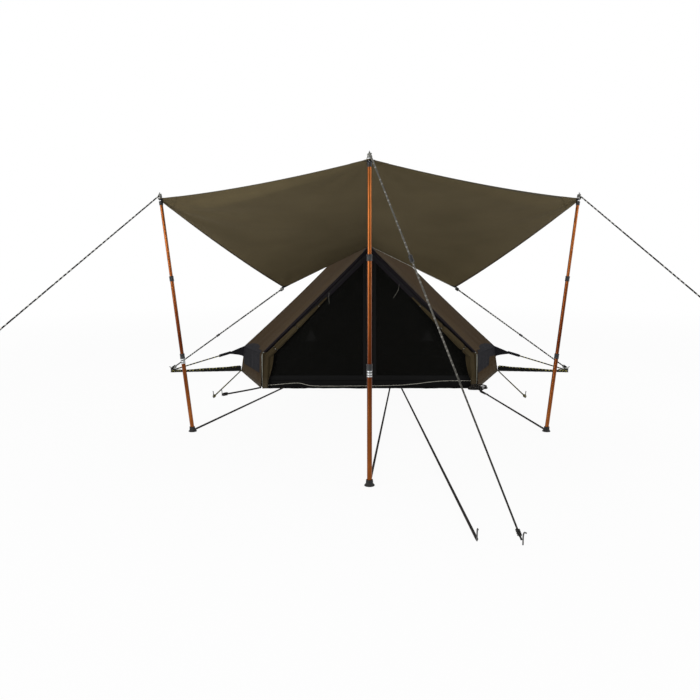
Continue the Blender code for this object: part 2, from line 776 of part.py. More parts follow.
def build_awning():
    """The tarpaulin, one sheet that is creased along its ridge."""
    def whole(u, v):
        across = 2 * u - 1
        at = awning_point(abs(across) * AWNING_WIDER, v * AWNING_LONGER)
        return mirrored(at, math.copysign(1, across))
    sheet = cloth("awning", whole, 20, 10, CANVAS_MAT)
    heads = (("center", CENTER_FOOT, AWNING_FRONT, 1), ("left", SIDE_FOOT, AWNING_SIDE, -1),
             ("right", SIDE_FOOT, AWNING_SIDE, 1))
    for word, foot, head, side in heads:
        head = mirrored(head, side)
        cut(sheet, head_hole(f"{word}_hole", head, pole_axis(mirrored(foot, side), head)))


# Telescopic poles

def sheet_tilt(surface_u, axis, side):
    """Angle between the awning's normal at a pole head and the pole."""
    step = 0.001
    here = awning_point(surface_u, 1.0)
    along = awning_point(surface_u, 1.0 - step) - here
    across = awning_point(surface_u + (step if surface_u < 0.5 else -step), 1.0) - here
    normal = mirrored(along.cross(across).normalized(), side)
    if normal.z < 0:
        normal = -normal
    return normal.angle(axis)


def lower_profile(whole, to_collar, banded):
    """The lowest tube's outline, with the bare band that stands out under its collar."""
    radius = TUBE_RADII[0]
    inner = radius - TUBE_WALL
    length = whole.length
    profile = [(radius, length)]
    if banded:
        top = to_collar.length - FIT
        proud = radius + BAND_WALL
        profile += [(radius, top), (proud, top), (proud, top - BAND_LONG),
                    (radius, top - BAND_LONG)]
    return profile + [(radius, 0.0), (inner, 0.0), (inner, length)]


def build_pole(word, foot, head, collars, tilt):
    axis = pole_axis(foot, head)
    lower_r, middle_r, top_r = TUBE_RADII

    def at(height):
        """The point of the pole's axis at a height over the ground."""
        return foot + axis * (height / axis.z)

    under_sheet = (CLOTH / 2 + FIT + PATCH_THICK) / math.cos(tilt) + CAP_R * math.tan(tilt) + FIT
    cap_top = head - axis * under_sheet
    bottom = foot + axis * (FOOT_FLOOR / axis.z + FIT)
    lip = COLLAR_LIP + FIT
    lower_end = at(collars[0]) + axis * (COLLAR_LONG - lip)
    middle_end = at(collars[1]) + axis * (COLLAR_LONG - lip)
    lower = lower_profile(lower_end - bottom, at(collars[0]) - bottom, word != "right")
    lathe(f"{word}_lower_tube", lower, COPPER_MAT, bottom, axis)
    tube(f"{word}_middle_tube", lower_end - axis * INSERTED, middle_end, middle_r, TUBE_WALL,
         COPPER_MAT)
    tube(f"{word}_top_tube", middle_end - axis * INSERTED, cap_top - axis * (CAP_TOP + FIT), top_r,
         TUBE_WALL, COPPER_MAT)
    for name, low, outer, inner in (("lower", collars[0], lower_r, middle_r),
                                    ("upper", collars[1], middle_r, top_r)):
        rim = outer + COLLAR_WALL
        bore = outer + TURN_GAP
        mouth = inner + TURN_GAP
        profile = [
            (rim - EDGE_IN, COLLAR_LONG), (rim, COLLAR_LONG - EDGE_LONG), (rim, EDGE_LONG),
            (rim - EDGE_IN, 0.0),
            (bore, 0.0), (bore, COLLAR_LONG - COLLAR_LIP), (mouth, COLLAR_LONG - COLLAR_LIP),
            (mouth, COLLAR_LONG),
        ]
        lathe(f"{word}_{name}_collar", profile, PLASTIC_MAT, at(low), axis)
    socket = top_r + TURN_GAP
    rise = SPIGOT_RISE + under_sheet
    profile = [
        (0.0, rise), (SPIGOT_R * 0.6, rise), (SPIGOT_R, rise - CAP_EDGE), (SPIGOT_R, 0.0),
        (CAP_R - CAP_EDGE, 0.0), (CAP_R, -CAP_EDGE), (CAP_R, -CAP_LONG), (socket, -CAP_LONG),
        (socket, -CAP_TOP), (0.0, -CAP_TOP),
    ]
    lathe(f"{word}_head", profile, PLASTIC_MAT, cap_top, axis, closed=False)


def build_foot(word, foot, axis):
    def body(work):
        bmesh.ops.create_cone(work, cap_ends=True, segments=SIDES, radius1=FOOT_R,
                              radius2=FOOT_NECK_R, depth=FOOT_HIGH)
        bmesh.ops.translate(work, verts=work.verts, vec=(0.0, 0.0, FOOT_HIGH / 2))
    item = mesh_object(f"{word}_foot", body, RUBBER_MAT)
    item.location = foot

    def bore(work):
        bmesh.ops.create_cone(work, cap_ends=True, segments=SIDES, radius1=TUBE_RADII[0] + FIT,
                              radius2=TUBE_RADII[0] + FIT, depth=HOLE_DEEP)
        bmesh.ops.translate(work, verts=work.verts, vec=(0.0, 0.0, HOLE_DEEP / 2))
    tool = cutter(f"{word}_foot_bore", bore)
    place(tool, foot + axis * (FOOT_FLOOR / axis.z), axis)
    return cut(item, tool)


def build_poles():
    poles = (
        ("center", CENTER_FOOT, AWNING_FRONT, CENTER_COLLARS, 0.0, 1),
        ("left", SIDE_FOOT, AWNING_SIDE, SIDE_COLLARS, 1.0, -1),
        ("right", SIDE_FOOT, AWNING_SIDE, SIDE_COLLARS, 1.0, 1),
    )
    for word, foot, head, collars, place_u, side in poles:
        foot, head = mirrored(foot, side), mirrored(head, side)
        axis = pole_axis(foot, head)
        build_pole(word, foot, head, collars, sheet_tilt(place_u, axis, side))
        build_foot(word, foot, axis)


# Cords and pegs

def build_peg(name, at, towards):
    """A peg's head over the ground, whose hook leans away from its cord."""
    away = Vector((at.x - towards.x, at.y - towards.y, 0.0)).normalized()
    top = at + Vector((0.0, 0.0, PEG_HIGH))
    points = [
        Vector(at), at + Vector((0.0, 0.0, PEG_HIGH * 0.7)),
        top + away * PEG_HOOK * 0.25, top + away * PEG_HOOK,
    ]
    cord(name, points, PEG_R, STEEL_MAT)


def meet(start, at, radius, solid_radius):
    """Where a cord that comes from start ends, square to itself, beside an upright rod."""
    flat = Vector((start.x - at.x, start.y - at.y, 0.0))
    slope = Vector(start) - Vector(at)
    steep = abs(slope.z) / slope.length
    return Vector(at) + flat.normalized() * (solid_radius + FIT + radius * steep * 1.05)


def spigot_start(head, axis, peg):
    """Where a guyline leaves its spigot."""
    centre = head + axis * GUY_HEIGHT
    flat = Vector((peg.x - centre.x, peg.y - centre.y, 0.0)).normalized()
    steep = abs((Vector(peg) - centre).normalized().z)
    return centre + flat * (SPIGOT_R + FIT + GUY_R * steep)


def guyline(name, start, peg, radius, look, catch=PEG_CATCH):
    end = meet(start, Vector((peg.x, peg.y, catch)), radius, PEG_R)
    cord(name, straight(start, end), radius, look)
    return start, end


def runner(name, line, share, cord_radius):
    """The slider that tightens a guyline."""
    start, end = line
    axis = (end - start).normalized()
    bore = cord_radius + RUNNER_GAP
    low = start.lerp(end, share) - axis * RUNNER_LONG / 2
    across, along = RUNNER_EDGE
    profile = [
        (RUNNER_R - across, RUNNER_LONG), (RUNNER_R, RUNNER_LONG - along), (RUNNER_R, along),
        (RUNNER_R - across, 0.0), (bore, 0.0), (bore, RUNNER_LONG),
    ]
    lathe(name, profile, PLASTIC_MAT, low, axis)


def build_guylines():
    heads = (("center", CENTER_FOOT, AWNING_FRONT, CENTER_PEG, 1, PALE_CORD_MAT),
             ("left", SIDE_FOOT, AWNING_SIDE, SIDE_PEG, -1, CORD_MAT),
             ("right", SIDE_FOOT, AWNING_SIDE, SIDE_PEG, 1, CORD_MAT))
    for word, foot, head, peg, side, look in heads:
        foot, head, peg = mirrored(foot, side), mirrored(head, side), mirrored(peg, side)
        start = spigot_start(head, pole_axis(foot, head), peg)
        line = guyline(f"{word}_guyline", start, peg, GUY_R, look)
        build_peg(f"{word}_peg", peg, start)
        if word == "center":
            runner("center_runner", line, CENTER_RUNNER_AT, GUY_R)
    for side, word in ((-1, "left"), (1, "right")):
        peg = mirrored(TENT_PEG, side)
        corner = mirrored(awning_point(AWNING_WIDER, 0.0), side)
        flat = Vector((peg.x - corner.x, peg.y - corner.y, 0.0)).normalized()
        start = corner + flat * (FIT + THIN_R * 0.75) - Vector((0.0, 0.0, CLOTH))
        line = guyline(f"{word}_rear_guyline", start, peg, THIN_R, CORD_MAT, REAR_CATCH)
        runner(f"{word}_rear_runner", line, REAR_RUNNER_AT, THIN_R)
        tip = mirrored((SIDE_EAVE_X + TAB_REACH + 2 * FIT + THIN_R * 0.35, 0.0, TAB_TIP_Z), side)
        guyline(f"{word}_eave_guyline", tip, peg, THIN_R, CORD_MAT, EAVE_CATCH)
        build_peg(f"{word}_tent_peg", peg, tip)


def ground_run(start, end, radius):
    """Points of a cord that lies on the ground."""
    rest = Vector((0.0, 0.0, radius + FIT))
    return straight(Vector((start.x, start.y, 0.0)) + rest, Vector((end.x, end.y, 0.0)) + rest)


def foot_edge(foot, towards):
    """Where a cord on the ground meets a foot's rim."""
    way = Vector((towards.x - foot.x, towards.y - foot.y, 0.0)).normalized()
    return foot + way * (FOOT_R + FIT / 3)


def build_ground_cords():
    """The cords that run along the ground from the pole feet and the doorway."""
    edge_y = FRONT_Y + FLOOR_INSET - 2 * FIT
    touching = math.sqrt(GROUND_R ** 2 - (GROUND_R - FLOOR_THICK) ** 2)
    upright = doorway_point(RAFTER_INSET, SLOPE_LONG, RAFTER_Y)
    way = Vector((SIDE_FOOT.x - upright.x, SIDE_FOOT.y - upright.y, 0.0)).normalized()
    ends = (
        ("left", mirrored(SIDE_FOOT, -1), Vector((LEFT_FOOT_CORD_X, edge_y, 0.0))),
        ("center", CENTER_FOOT, Vector((CENTER_FOOT_CORD_X, edge_y, 0.0))),
        ("right", SIDE_FOOT,
         Vector((upright.x, upright.y, 0.0)) + way * (RAFTER_R + 2 * FIT)),
    )
    for word, foot, end in ends:
        start = foot_edge(foot, end)
        end.y -= touching * abs((end - start).normalized().x)
        cord(f"{word}_foot_cord", ground_run(start, end, GROUND_R), GROUND_R, CORD_MAT)
    start = Vector((FRONT_CORD_X, edge_y - touching * FRONT_CORD_SLANT, 0.0))
    stop = Vector((FRONT_PEG.x, FRONT_PEG.y + PEG_R + 2 * FIT, 0.0))
    cord("front_cord", ground_run(start, stop, GROUND_R), GROUND_R, CORD_MAT)
    build_peg("front_peg", FRONT_PEG, start)


def build_side_straps():
    """Webbing on its edge from the floor's side corners out to the pegs of the tent."""
    lean = (SIDE_FOOT_X - SIDE_EAVE_X) / SIDE_EAVE_Z
    root = SIDE_FOOT_X + CLOTH / 2 + 2 * FIT
    start = Vector((root, 0.0, 0.0))
    way = (TENT_PEG - start).normalized()
    stop = TENT_PEG - way * (PEG_R + 2 * FIT)
    low, high = STRAP_LOW, STRAP_LOW + STRAP_HIGH
    corners = [
        Vector((start.x, start.y, low)), Vector((stop.x, stop.y, low)),
        Vector((stop.x, stop.y, STRAP_LOW + STRAP_END)),
        Vector((start.x - lean * high * 0.5, start.y, high)),
    ]
    for side, word in ((-1, "left"), (1, "right")):
        plate(f"{word}_strap", [mirrored(c, side) for c in corners], STRAP_THICK, CORD_MAT)


build_roof()
build_walls()
build_corner_patches()
build_sleeves()
build_door_poles()
build_mesh_doors()
build_floor()
build_door_rolls()
build_tent_pole()
build_awning()
build_poles()
build_guylines()
build_ground_cords()
build_side_straps()
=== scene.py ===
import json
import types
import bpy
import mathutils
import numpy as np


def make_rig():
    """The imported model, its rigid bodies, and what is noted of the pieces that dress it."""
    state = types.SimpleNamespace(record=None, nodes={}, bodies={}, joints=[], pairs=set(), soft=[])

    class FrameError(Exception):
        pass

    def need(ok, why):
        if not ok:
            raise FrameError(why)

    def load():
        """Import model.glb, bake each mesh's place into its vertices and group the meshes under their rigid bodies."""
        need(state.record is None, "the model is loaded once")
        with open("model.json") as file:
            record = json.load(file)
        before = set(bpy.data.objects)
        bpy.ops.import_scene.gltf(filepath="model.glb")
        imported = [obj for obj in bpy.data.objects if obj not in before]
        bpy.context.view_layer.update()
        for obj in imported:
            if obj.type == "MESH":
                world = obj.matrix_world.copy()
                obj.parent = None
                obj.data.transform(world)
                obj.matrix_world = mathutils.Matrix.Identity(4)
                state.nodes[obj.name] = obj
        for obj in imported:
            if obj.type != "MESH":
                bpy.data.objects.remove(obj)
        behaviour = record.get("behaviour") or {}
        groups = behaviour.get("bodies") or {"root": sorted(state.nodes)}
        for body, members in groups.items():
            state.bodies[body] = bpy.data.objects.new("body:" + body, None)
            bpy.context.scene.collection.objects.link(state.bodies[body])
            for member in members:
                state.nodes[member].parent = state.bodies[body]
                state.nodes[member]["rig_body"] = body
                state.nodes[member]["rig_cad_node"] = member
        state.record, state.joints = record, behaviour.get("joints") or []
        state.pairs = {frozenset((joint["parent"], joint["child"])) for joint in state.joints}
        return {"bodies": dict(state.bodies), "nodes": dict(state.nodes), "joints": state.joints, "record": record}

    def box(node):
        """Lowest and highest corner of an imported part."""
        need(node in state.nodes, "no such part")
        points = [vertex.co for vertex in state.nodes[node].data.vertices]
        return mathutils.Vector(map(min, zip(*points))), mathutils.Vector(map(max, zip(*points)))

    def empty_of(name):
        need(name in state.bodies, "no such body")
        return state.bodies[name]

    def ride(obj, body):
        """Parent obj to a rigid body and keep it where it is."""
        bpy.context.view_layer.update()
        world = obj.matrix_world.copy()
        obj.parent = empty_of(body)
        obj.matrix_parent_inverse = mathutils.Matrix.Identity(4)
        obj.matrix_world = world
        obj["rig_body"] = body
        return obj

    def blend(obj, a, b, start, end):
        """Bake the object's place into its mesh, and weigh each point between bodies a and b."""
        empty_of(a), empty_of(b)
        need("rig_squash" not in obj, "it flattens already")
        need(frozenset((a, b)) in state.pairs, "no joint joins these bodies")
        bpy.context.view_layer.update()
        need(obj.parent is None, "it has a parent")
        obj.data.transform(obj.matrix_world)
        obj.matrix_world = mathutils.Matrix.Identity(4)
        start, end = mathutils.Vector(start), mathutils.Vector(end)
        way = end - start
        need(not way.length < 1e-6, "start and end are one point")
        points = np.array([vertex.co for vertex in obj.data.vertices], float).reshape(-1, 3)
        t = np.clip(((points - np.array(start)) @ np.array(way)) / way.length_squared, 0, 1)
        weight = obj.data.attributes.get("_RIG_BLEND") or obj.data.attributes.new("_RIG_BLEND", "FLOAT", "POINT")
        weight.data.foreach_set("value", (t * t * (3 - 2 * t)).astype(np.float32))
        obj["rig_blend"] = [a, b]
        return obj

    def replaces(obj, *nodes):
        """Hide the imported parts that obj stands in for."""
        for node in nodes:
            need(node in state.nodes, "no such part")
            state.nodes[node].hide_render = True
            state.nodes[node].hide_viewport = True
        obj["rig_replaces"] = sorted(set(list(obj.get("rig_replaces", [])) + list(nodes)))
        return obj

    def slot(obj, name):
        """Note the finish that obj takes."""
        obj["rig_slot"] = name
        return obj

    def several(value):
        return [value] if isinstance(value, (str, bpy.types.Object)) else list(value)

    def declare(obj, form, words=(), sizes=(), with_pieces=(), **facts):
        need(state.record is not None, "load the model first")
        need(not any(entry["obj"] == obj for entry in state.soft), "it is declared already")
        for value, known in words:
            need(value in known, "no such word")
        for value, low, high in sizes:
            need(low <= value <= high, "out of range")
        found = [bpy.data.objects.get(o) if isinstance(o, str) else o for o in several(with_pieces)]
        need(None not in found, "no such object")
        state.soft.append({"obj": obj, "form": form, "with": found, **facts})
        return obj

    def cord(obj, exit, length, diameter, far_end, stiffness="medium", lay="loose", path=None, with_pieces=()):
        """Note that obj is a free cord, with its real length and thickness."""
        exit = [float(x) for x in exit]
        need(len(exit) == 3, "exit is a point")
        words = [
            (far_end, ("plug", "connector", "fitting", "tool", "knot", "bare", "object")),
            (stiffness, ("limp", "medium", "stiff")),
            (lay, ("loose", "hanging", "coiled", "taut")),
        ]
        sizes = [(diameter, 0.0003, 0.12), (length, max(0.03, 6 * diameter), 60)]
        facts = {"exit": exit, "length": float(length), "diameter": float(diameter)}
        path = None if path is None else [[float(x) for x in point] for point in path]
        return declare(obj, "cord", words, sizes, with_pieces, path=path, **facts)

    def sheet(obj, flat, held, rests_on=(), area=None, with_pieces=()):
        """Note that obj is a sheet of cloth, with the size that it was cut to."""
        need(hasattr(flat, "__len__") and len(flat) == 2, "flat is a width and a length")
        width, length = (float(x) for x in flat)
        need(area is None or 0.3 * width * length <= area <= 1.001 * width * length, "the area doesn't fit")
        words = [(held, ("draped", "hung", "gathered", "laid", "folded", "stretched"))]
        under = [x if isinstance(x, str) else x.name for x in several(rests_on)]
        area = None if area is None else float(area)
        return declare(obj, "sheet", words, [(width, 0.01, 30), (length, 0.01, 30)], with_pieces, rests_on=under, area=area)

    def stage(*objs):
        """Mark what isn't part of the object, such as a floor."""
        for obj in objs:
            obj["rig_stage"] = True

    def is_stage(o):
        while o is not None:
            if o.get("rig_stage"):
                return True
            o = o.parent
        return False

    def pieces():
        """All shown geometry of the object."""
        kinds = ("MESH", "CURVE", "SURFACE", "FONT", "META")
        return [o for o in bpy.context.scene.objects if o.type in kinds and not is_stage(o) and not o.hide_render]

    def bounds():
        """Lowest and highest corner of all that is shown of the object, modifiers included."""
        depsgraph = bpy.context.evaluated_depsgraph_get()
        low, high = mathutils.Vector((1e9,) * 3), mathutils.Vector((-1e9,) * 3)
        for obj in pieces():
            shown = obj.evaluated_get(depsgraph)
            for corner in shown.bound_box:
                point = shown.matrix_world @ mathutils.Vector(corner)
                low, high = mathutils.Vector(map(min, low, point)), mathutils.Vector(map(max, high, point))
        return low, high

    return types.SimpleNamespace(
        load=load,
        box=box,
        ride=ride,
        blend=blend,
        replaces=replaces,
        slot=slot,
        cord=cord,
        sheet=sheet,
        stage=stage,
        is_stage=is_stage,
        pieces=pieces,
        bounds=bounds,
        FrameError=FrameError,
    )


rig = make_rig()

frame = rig.load()

import json
import math

import bmesh
import bpy
from mathutils import Matrix, Vector, noise

CAD_BOX = [list(corner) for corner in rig.bounds()]

# Camera and light
CAMERA_PLACE = (0.0, -9.55, 1.70)
CAMERA_PITCH = 8.37
PHOTO_WIDE = 700
PHOTO_SHIFT = -19.5         # of the view's middle, in the photo's pixels
SKY_LEVEL = (0.34, 0.45)    # of the light from the horizon and from above
GLOW_REACH = (4.5, 12.0)    # over which the floor's white goes from its near to its far share
GLOW_SHARE = (0.95, 1.0)
FLOOR_HALF = 60.0
FLOOR_DROP = 0.0008         # so that the object's ground faces stay above it

# Common
BOTH = ((-1, "left"), (1, "right"))
FACES = ((-1, "under"), (1, "over"))
FIT = 0.0003
WELD = 0.00002              # points nearer than this become one
CANVAS_THICK = 0.0012
TRIM_THICK = 0.001
PATCH_THICK = 0.0011
GROUND_LIFT = 0.0006        # of the wall's foot

# Tent
FRONT_Y = -1.19
APEX_Z = 1.71
FRONT_EAVE = Vector((1.30, FRONT_Y, 0.43))
SIDE_EAVE = Vector((1.72, 0.0, 0.35))
REAR_EAVE = Vector((0.93, 1.45, 0.33))
REAR_EAVE_MIDDLE = Vector((0.0, 1.45, 0.33))
FRONT_FOOT = Vector((1.318, FRONT_Y, 0.0))
SIDE_WALL_FOOT = Vector((1.775, 0.0, 0.0))
REAR_WALL_FOOT = Vector((0.97, 1.49, 0.0))
REAR_WALL_MIDDLE = Vector((0.0, 1.49, 0.0))
FRONT_APEX = Vector((0.0, FRONT_Y, APEX_Z))
RING_Z = 2.022
PEAK_RING = 0.012
RIDGE_SHARE = 0.985
SIDE_SAG = 0.040
RING_FRONT = Vector((0.0, -PEAK_RING, RING_Z))
RING_SIDE = Vector((PEAK_RING, 0.0, RING_Z))
RING_CORNER = Vector((PEAK_RING * math.cos(math.radians(50)),
                      PEAK_RING * math.sin(math.radians(50)), RING_Z))
RING_REAR = Vector((0.0, PEAK_RING, RING_Z))
PATCH_SHARE = 0.04
PATCH_OVERHANG = 1.15
PATCH_BACK = 0.3
PATCH_TAPER = 3.2
PATCH_LIFT = 0.0036
TAB_TIP_X = 1.95
TAB_TIP_Z = 0.25
TAB_ROOT_Z = 0.20

# Doorway
SLOPE = (FRONT_EAVE - FRONT_APEX).normalized()
INWARD = Vector((SLOPE.z, 0.0, -SLOPE.x))
SLOPE_LONG = (FRONT_EAVE - FRONT_APEX).length
SLEEVE_BACK_Y = -1.1903
SLEEVE_DEPTH = 0.028
SLEEVE_WIDTH = 0.088
SLEEVE_BULGE = 0.027
SLEEVE_TAIL = 0.003
SLEEVE_RISE = 0.002
BEND = 0.03
RAFTER_INSET = 0.0125
MESH_BOTTOM = 0.10
MESH_HALF = 1.25
SILL_TOP = 0.095
SEAM_INSET = 0.012          # of the net's seam from the roof line
FORWARD = Vector((0.0, -1.0, 0.0))
ROLL_TOP_X = 0.56
ROLL_INSET = 0.074
ROLL_RADII = (0.009, 0.020, 0.030, 0.036, 0.031, 0.022)
ROLL_KNEE = 0.72
ROLL_FOOT = Vector((1.255, 0.0, 0.015))
ROLL_TIES = (0.10, 0.36, 0.62)

# Awning
AWNING_SAG = 0.030
AWNING_FRONT = Vector((0.0, -4.70, 2.277))
AWNING_SIDE = Vector((1.857, -3.20, 2.117))
AWNING_REAR = Vector((1.01, -1.195, 1.225))
REAR_MIDDLE = Vector((0.0, -1.195, 1.7146))
EDGE_PAST = 0.018           # of the sheet past its eyelets
AWNING_WIDER = 1 + EDGE_PAST / (AWNING_SIDE - AWNING_FRONT).length
AWNING_LONGER = 1 + EDGE_PAST / (AWNING_SIDE - AWNING_REAR).length
LIP_REACH = 0.140           # from the front edge back to the deepest line of its curl
LIP_DIP = 0.045
RIDGE_LONG = 3.55
SIDE_LONG = 2.37
REAR_WIDE = 1.12            # from the ridge to the side, along the rear and the front edge
FRONT_WIDE = 2.41
HEM = 0.022
HEM_LIFT = 0.0006           # of a hem's middle over the sheet's face
LAYER_STEP = 0.0013         # from one sewn layer to the next
STILL_AT = (0.0, -1.195, 1.7)   # up to here the sheet stays with the tent
MOVED_AT = (0.0, -3.2, 1.7)     # from here on it goes with the pole's top

# Poles
CENTER_FOOT = Vector((0.0, -4.70, 0.0))
SIDE_FOOT = Vector((1.648, -3.20, 0.0))
TUBE_RADII = (0.018, 0.016, 0.014)
TUBE_WALL = 0.0014
INSERTED = 0.12
CENTER_COLLARS = (0.841, 1.605)
SIDE_COLLARS = (0.686, 1.394)
COLLAR_LONG = 0.046
COLLAR_LIP = 0.014
COLLAR_WALL = 0.004
COLLAR_STEP = 0.0008        # down to a collar's grip
BORE_GAP = 0.0006
CAP_R = 0.0175
CAP_LONG = 0.036
SPIGOT_R = 0.005
SPIGOT_RISE = 0.066
BAND_LONG = 0.045
SOLE_THICK = 0.009

# Cords
GUY_R = 0.006
THIN_R = 0.0085
GROUND_R = 0.009
SIDE_ROPE_R = 0.0075
TIE_Y = -1.2215
FOOT_REACH = 0.0381         # from a pole's foot to where its cord starts
GUY_HEIGHT = 0.034
PEG_CATCH = 0.026
REAR_CATCH = 0.046
EAVE_CATCH = 0.028
STRAP_HIGH = 0.070
STRAP_END = 0.020
PEG_R = 0.0045
PEG_HIGH = 0.078
PEG_HOOK = 0.022
CENTER_PEG = Vector((0.885, -5.72, 0.0))
SIDE_PEG = Vector((3.62, -5.62, 0.0))
TENT_PEG = Vector((2.72, -0.10, 0.0))
FRONT_PEG = Vector((0.628, -5.665, 0.0))
SIDE_CORNER_PEG = Vector((1.775, -1.748, 0.0))
FRONT_CORNER_PEG = Vector((-1.70, -1.64, 0.0))
POLES = (
    ("center", CENTER_FOOT, AWNING_FRONT, 1, CENTER_COLLARS, CENTER_PEG),
    ("left", SIDE_FOOT, AWNING_SIDE, -1, SIDE_COLLARS, SIDE_PEG),
    ("right", SIDE_FOOT, AWNING_SIDE, 1, SIDE_COLLARS, SIDE_PEG),
)


# Materials

def node(tree, kind, inputs=None, **settings):
    made = tree.nodes.new(kind)
    for key, value in settings.items():
        setattr(made, key, value)
    for key, value in (inputs or {}).items():
        socket = made.inputs[key]
        if isinstance(value, bpy.types.NodeSocket):
            tree.links.new(value, socket)
        else:
            socket.default_value = value
    return made


def calc(tree, operation, first, second=0.0):
    return node(tree, "ShaderNodeMath", {0: first, 1: second}, operation=operation).outputs[0]


def blend_colour(tree, share, first, second, kind="MIX"):
    made = node(tree, "ShaderNodeMix", data_type="RGBA", blend_type=kind)
    for index, value in ((0, share), (6, first), (7, second)):
        if isinstance(value, bpy.types.NodeSocket):
            tree.links.new(value, made.inputs[index])
        elif index == 0:
            made.inputs[0].default_value = value
        else:
            made.inputs[index].default_value = (*value, 1.0)
    return made.outputs[2]


def spread(tree, value, low, high, to_low, to_high):
    inputs = {"Value": value, "From Min": low, "From Max": high, "To Min": to_low,
              "To Max": to_high}
    return node(tree, "ShaderNodeMapRange", inputs).outputs["Result"]


def speckle(tree, vector, scale, detail=2.0):
    inputs = {"Vector": vector, "Scale": scale, "Detail": detail}
    return node(tree, "ShaderNodeTexNoise", inputs).outputs[0]


def ribs(tree, vector, pitch, direction):
    inputs = {"Vector": vector, "Scale": 0.31416 / pitch}
    made = node(tree, "ShaderNodeTexWave", inputs, wave_type="BANDS",
                bands_direction=direction)
    return made.outputs[1]


def bump(tree, height, distance, strength, under=None):
    inputs = {"Height": height, "Distance": distance, "Strength": strength}
    if under is not None:
        inputs["Normal"] = under
    return node(tree, "ShaderNodeBump", inputs).outputs[0]


def weigh(tree, first, second, share):
    """A mixture of two values, with the given share of the second."""
    return calc(tree, "ADD", calc(tree, "MULTIPLY", first, 1.0 - share),
                calc(tree, "MULTIPLY", second, share))


def axis_of(tree, vector, axis):
    return node(tree, "ShaderNodeSeparateXYZ", {0: vector}).outputs[axis]


def start_look(name, roughness, metallic=0.0, sheen=0.0, specular=0.5, alpha=1.0):
    made = bpy.data.materials.new(name)
    made.use_nodes = True
    tree = made.node_tree
    shader = tree.nodes["Principled BSDF"]
    shader.inputs["Roughness"].default_value = roughness
    shader.inputs["Metallic"].default_value = metallic
    shader.inputs["Sheen Weight"].default_value = sheen
    shader.inputs["Specular IOR Level"].default_value = specular
    shader.inputs["Alpha"].default_value = alpha
    return made, tree


def finish_look(made, colour, gloss, normal=None):
    tree = made.node_tree
    shader = tree.nodes["Principled BSDF"]
    tree.links.new(colour, shader.inputs["Base Color"])
    tree.links.new(gloss, shader.inputs["Roughness"])
    if normal is not None:
        tree.links.new(normal, shader.inputs["Normal"])
    return made


def object_place(tree):
    return node(tree, "ShaderNodeTexCoord").outputs["Object"]


def cloth_place(tree):
    return node(tree, "ShaderNodeUVMap", uv_map="UVMap").outputs[0]


def canvas_look(name, dark, light, pitch=0.0016, crease=0.10, dusty=False):
    """Woven cloth: warp and weft in the piece's own metres, heathered yarn and soft creases."""
    made, tree = start_look(name, 0.86, sheen=0.01, specular=0.04)
    cloth = cloth_place(tree)
    here = object_place(tree)
    broad = speckle(tree, here, 1.7, 4.0)
    yarn = speckle(tree, cloth, 620.0, 3.0)
    share = weigh(tree, broad, yarn, 0.35)
    colour = blend_colour(tree, spread(tree, share, 0.32, 0.68, 0.0, 1.0), dark, light)
    weave = calc(tree, "MAXIMUM", ribs(tree, cloth, pitch, "X"), ribs(tree, cloth, pitch, "Y"))
    shade = spread(tree, weave, 0.0, 1.0, 0.80, 1.06)
    colour = blend_colour(tree, 1.0, colour, shade_colour(tree, shade), "MULTIPLY")
    if dusty:
        low = spread(tree, axis_of(tree, here, "Z"), 0.0, 0.16, 0.5, 0.0)
        dust = calc(tree, "MULTIPLY", low, speckle(tree, here, 9.0, 5.0))
        colour = blend_colour(tree, dust, colour, (0.17, 0.14, 0.10))
    gloss = spread(tree, broad, 0.3, 0.7, 0.80, 0.91)
    soft = bump(tree, speckle(tree, here, 7.0, 3.0), 0.02, crease)
    return finish_look(made, colour, gloss, bump(tree, weave, pitch * 0.3, 0.35, soft))


def shade_colour(tree, value):
    return node(tree, "ShaderNodeCombineColor", {0: value, 1: value, 2: value}).outputs[0]


def tape_look(name, dark, light, thread, half, pitch=0.0012):
    """A sewn tape: fine ribs across, and a row of stitches near each edge."""
    made, tree = start_look(name, 0.8, specular=0.12)
    cloth = cloth_place(tree)
    across, along = axis_of(tree, cloth, "X"), axis_of(tree, cloth, "Y")
    yarn = speckle(tree, cloth, 500.0, 2.0)
    colour = blend_colour(tree, spread(tree, yarn, 0.3, 0.7, 0.0, 1.0), dark, light)
    row = calc(tree, "ABSOLUTE", calc(tree, "SUBTRACT", calc(tree, "ABSOLUTE", across), half))
    near = calc(tree, "LESS_THAN", row, 0.0006)
    dash = calc(tree, "LESS_THAN", calc(tree, "FRACT", calc(tree, "MULTIPLY", along, 250.0)), 0.66)
    stitch = calc(tree, "MULTIPLY", near, dash)
    colour = blend_colour(tree, stitch, colour, thread)
    rib = ribs(tree, cloth, pitch, "Y")
    height = calc(tree, "ADD", calc(tree, "MULTIPLY", rib, 0.3), stitch)
    return finish_look(made, colour, spread(tree, yarn, 0.3, 0.7, 0.72, 0.88),
                       bump(tree, height, 0.0006, 0.5))


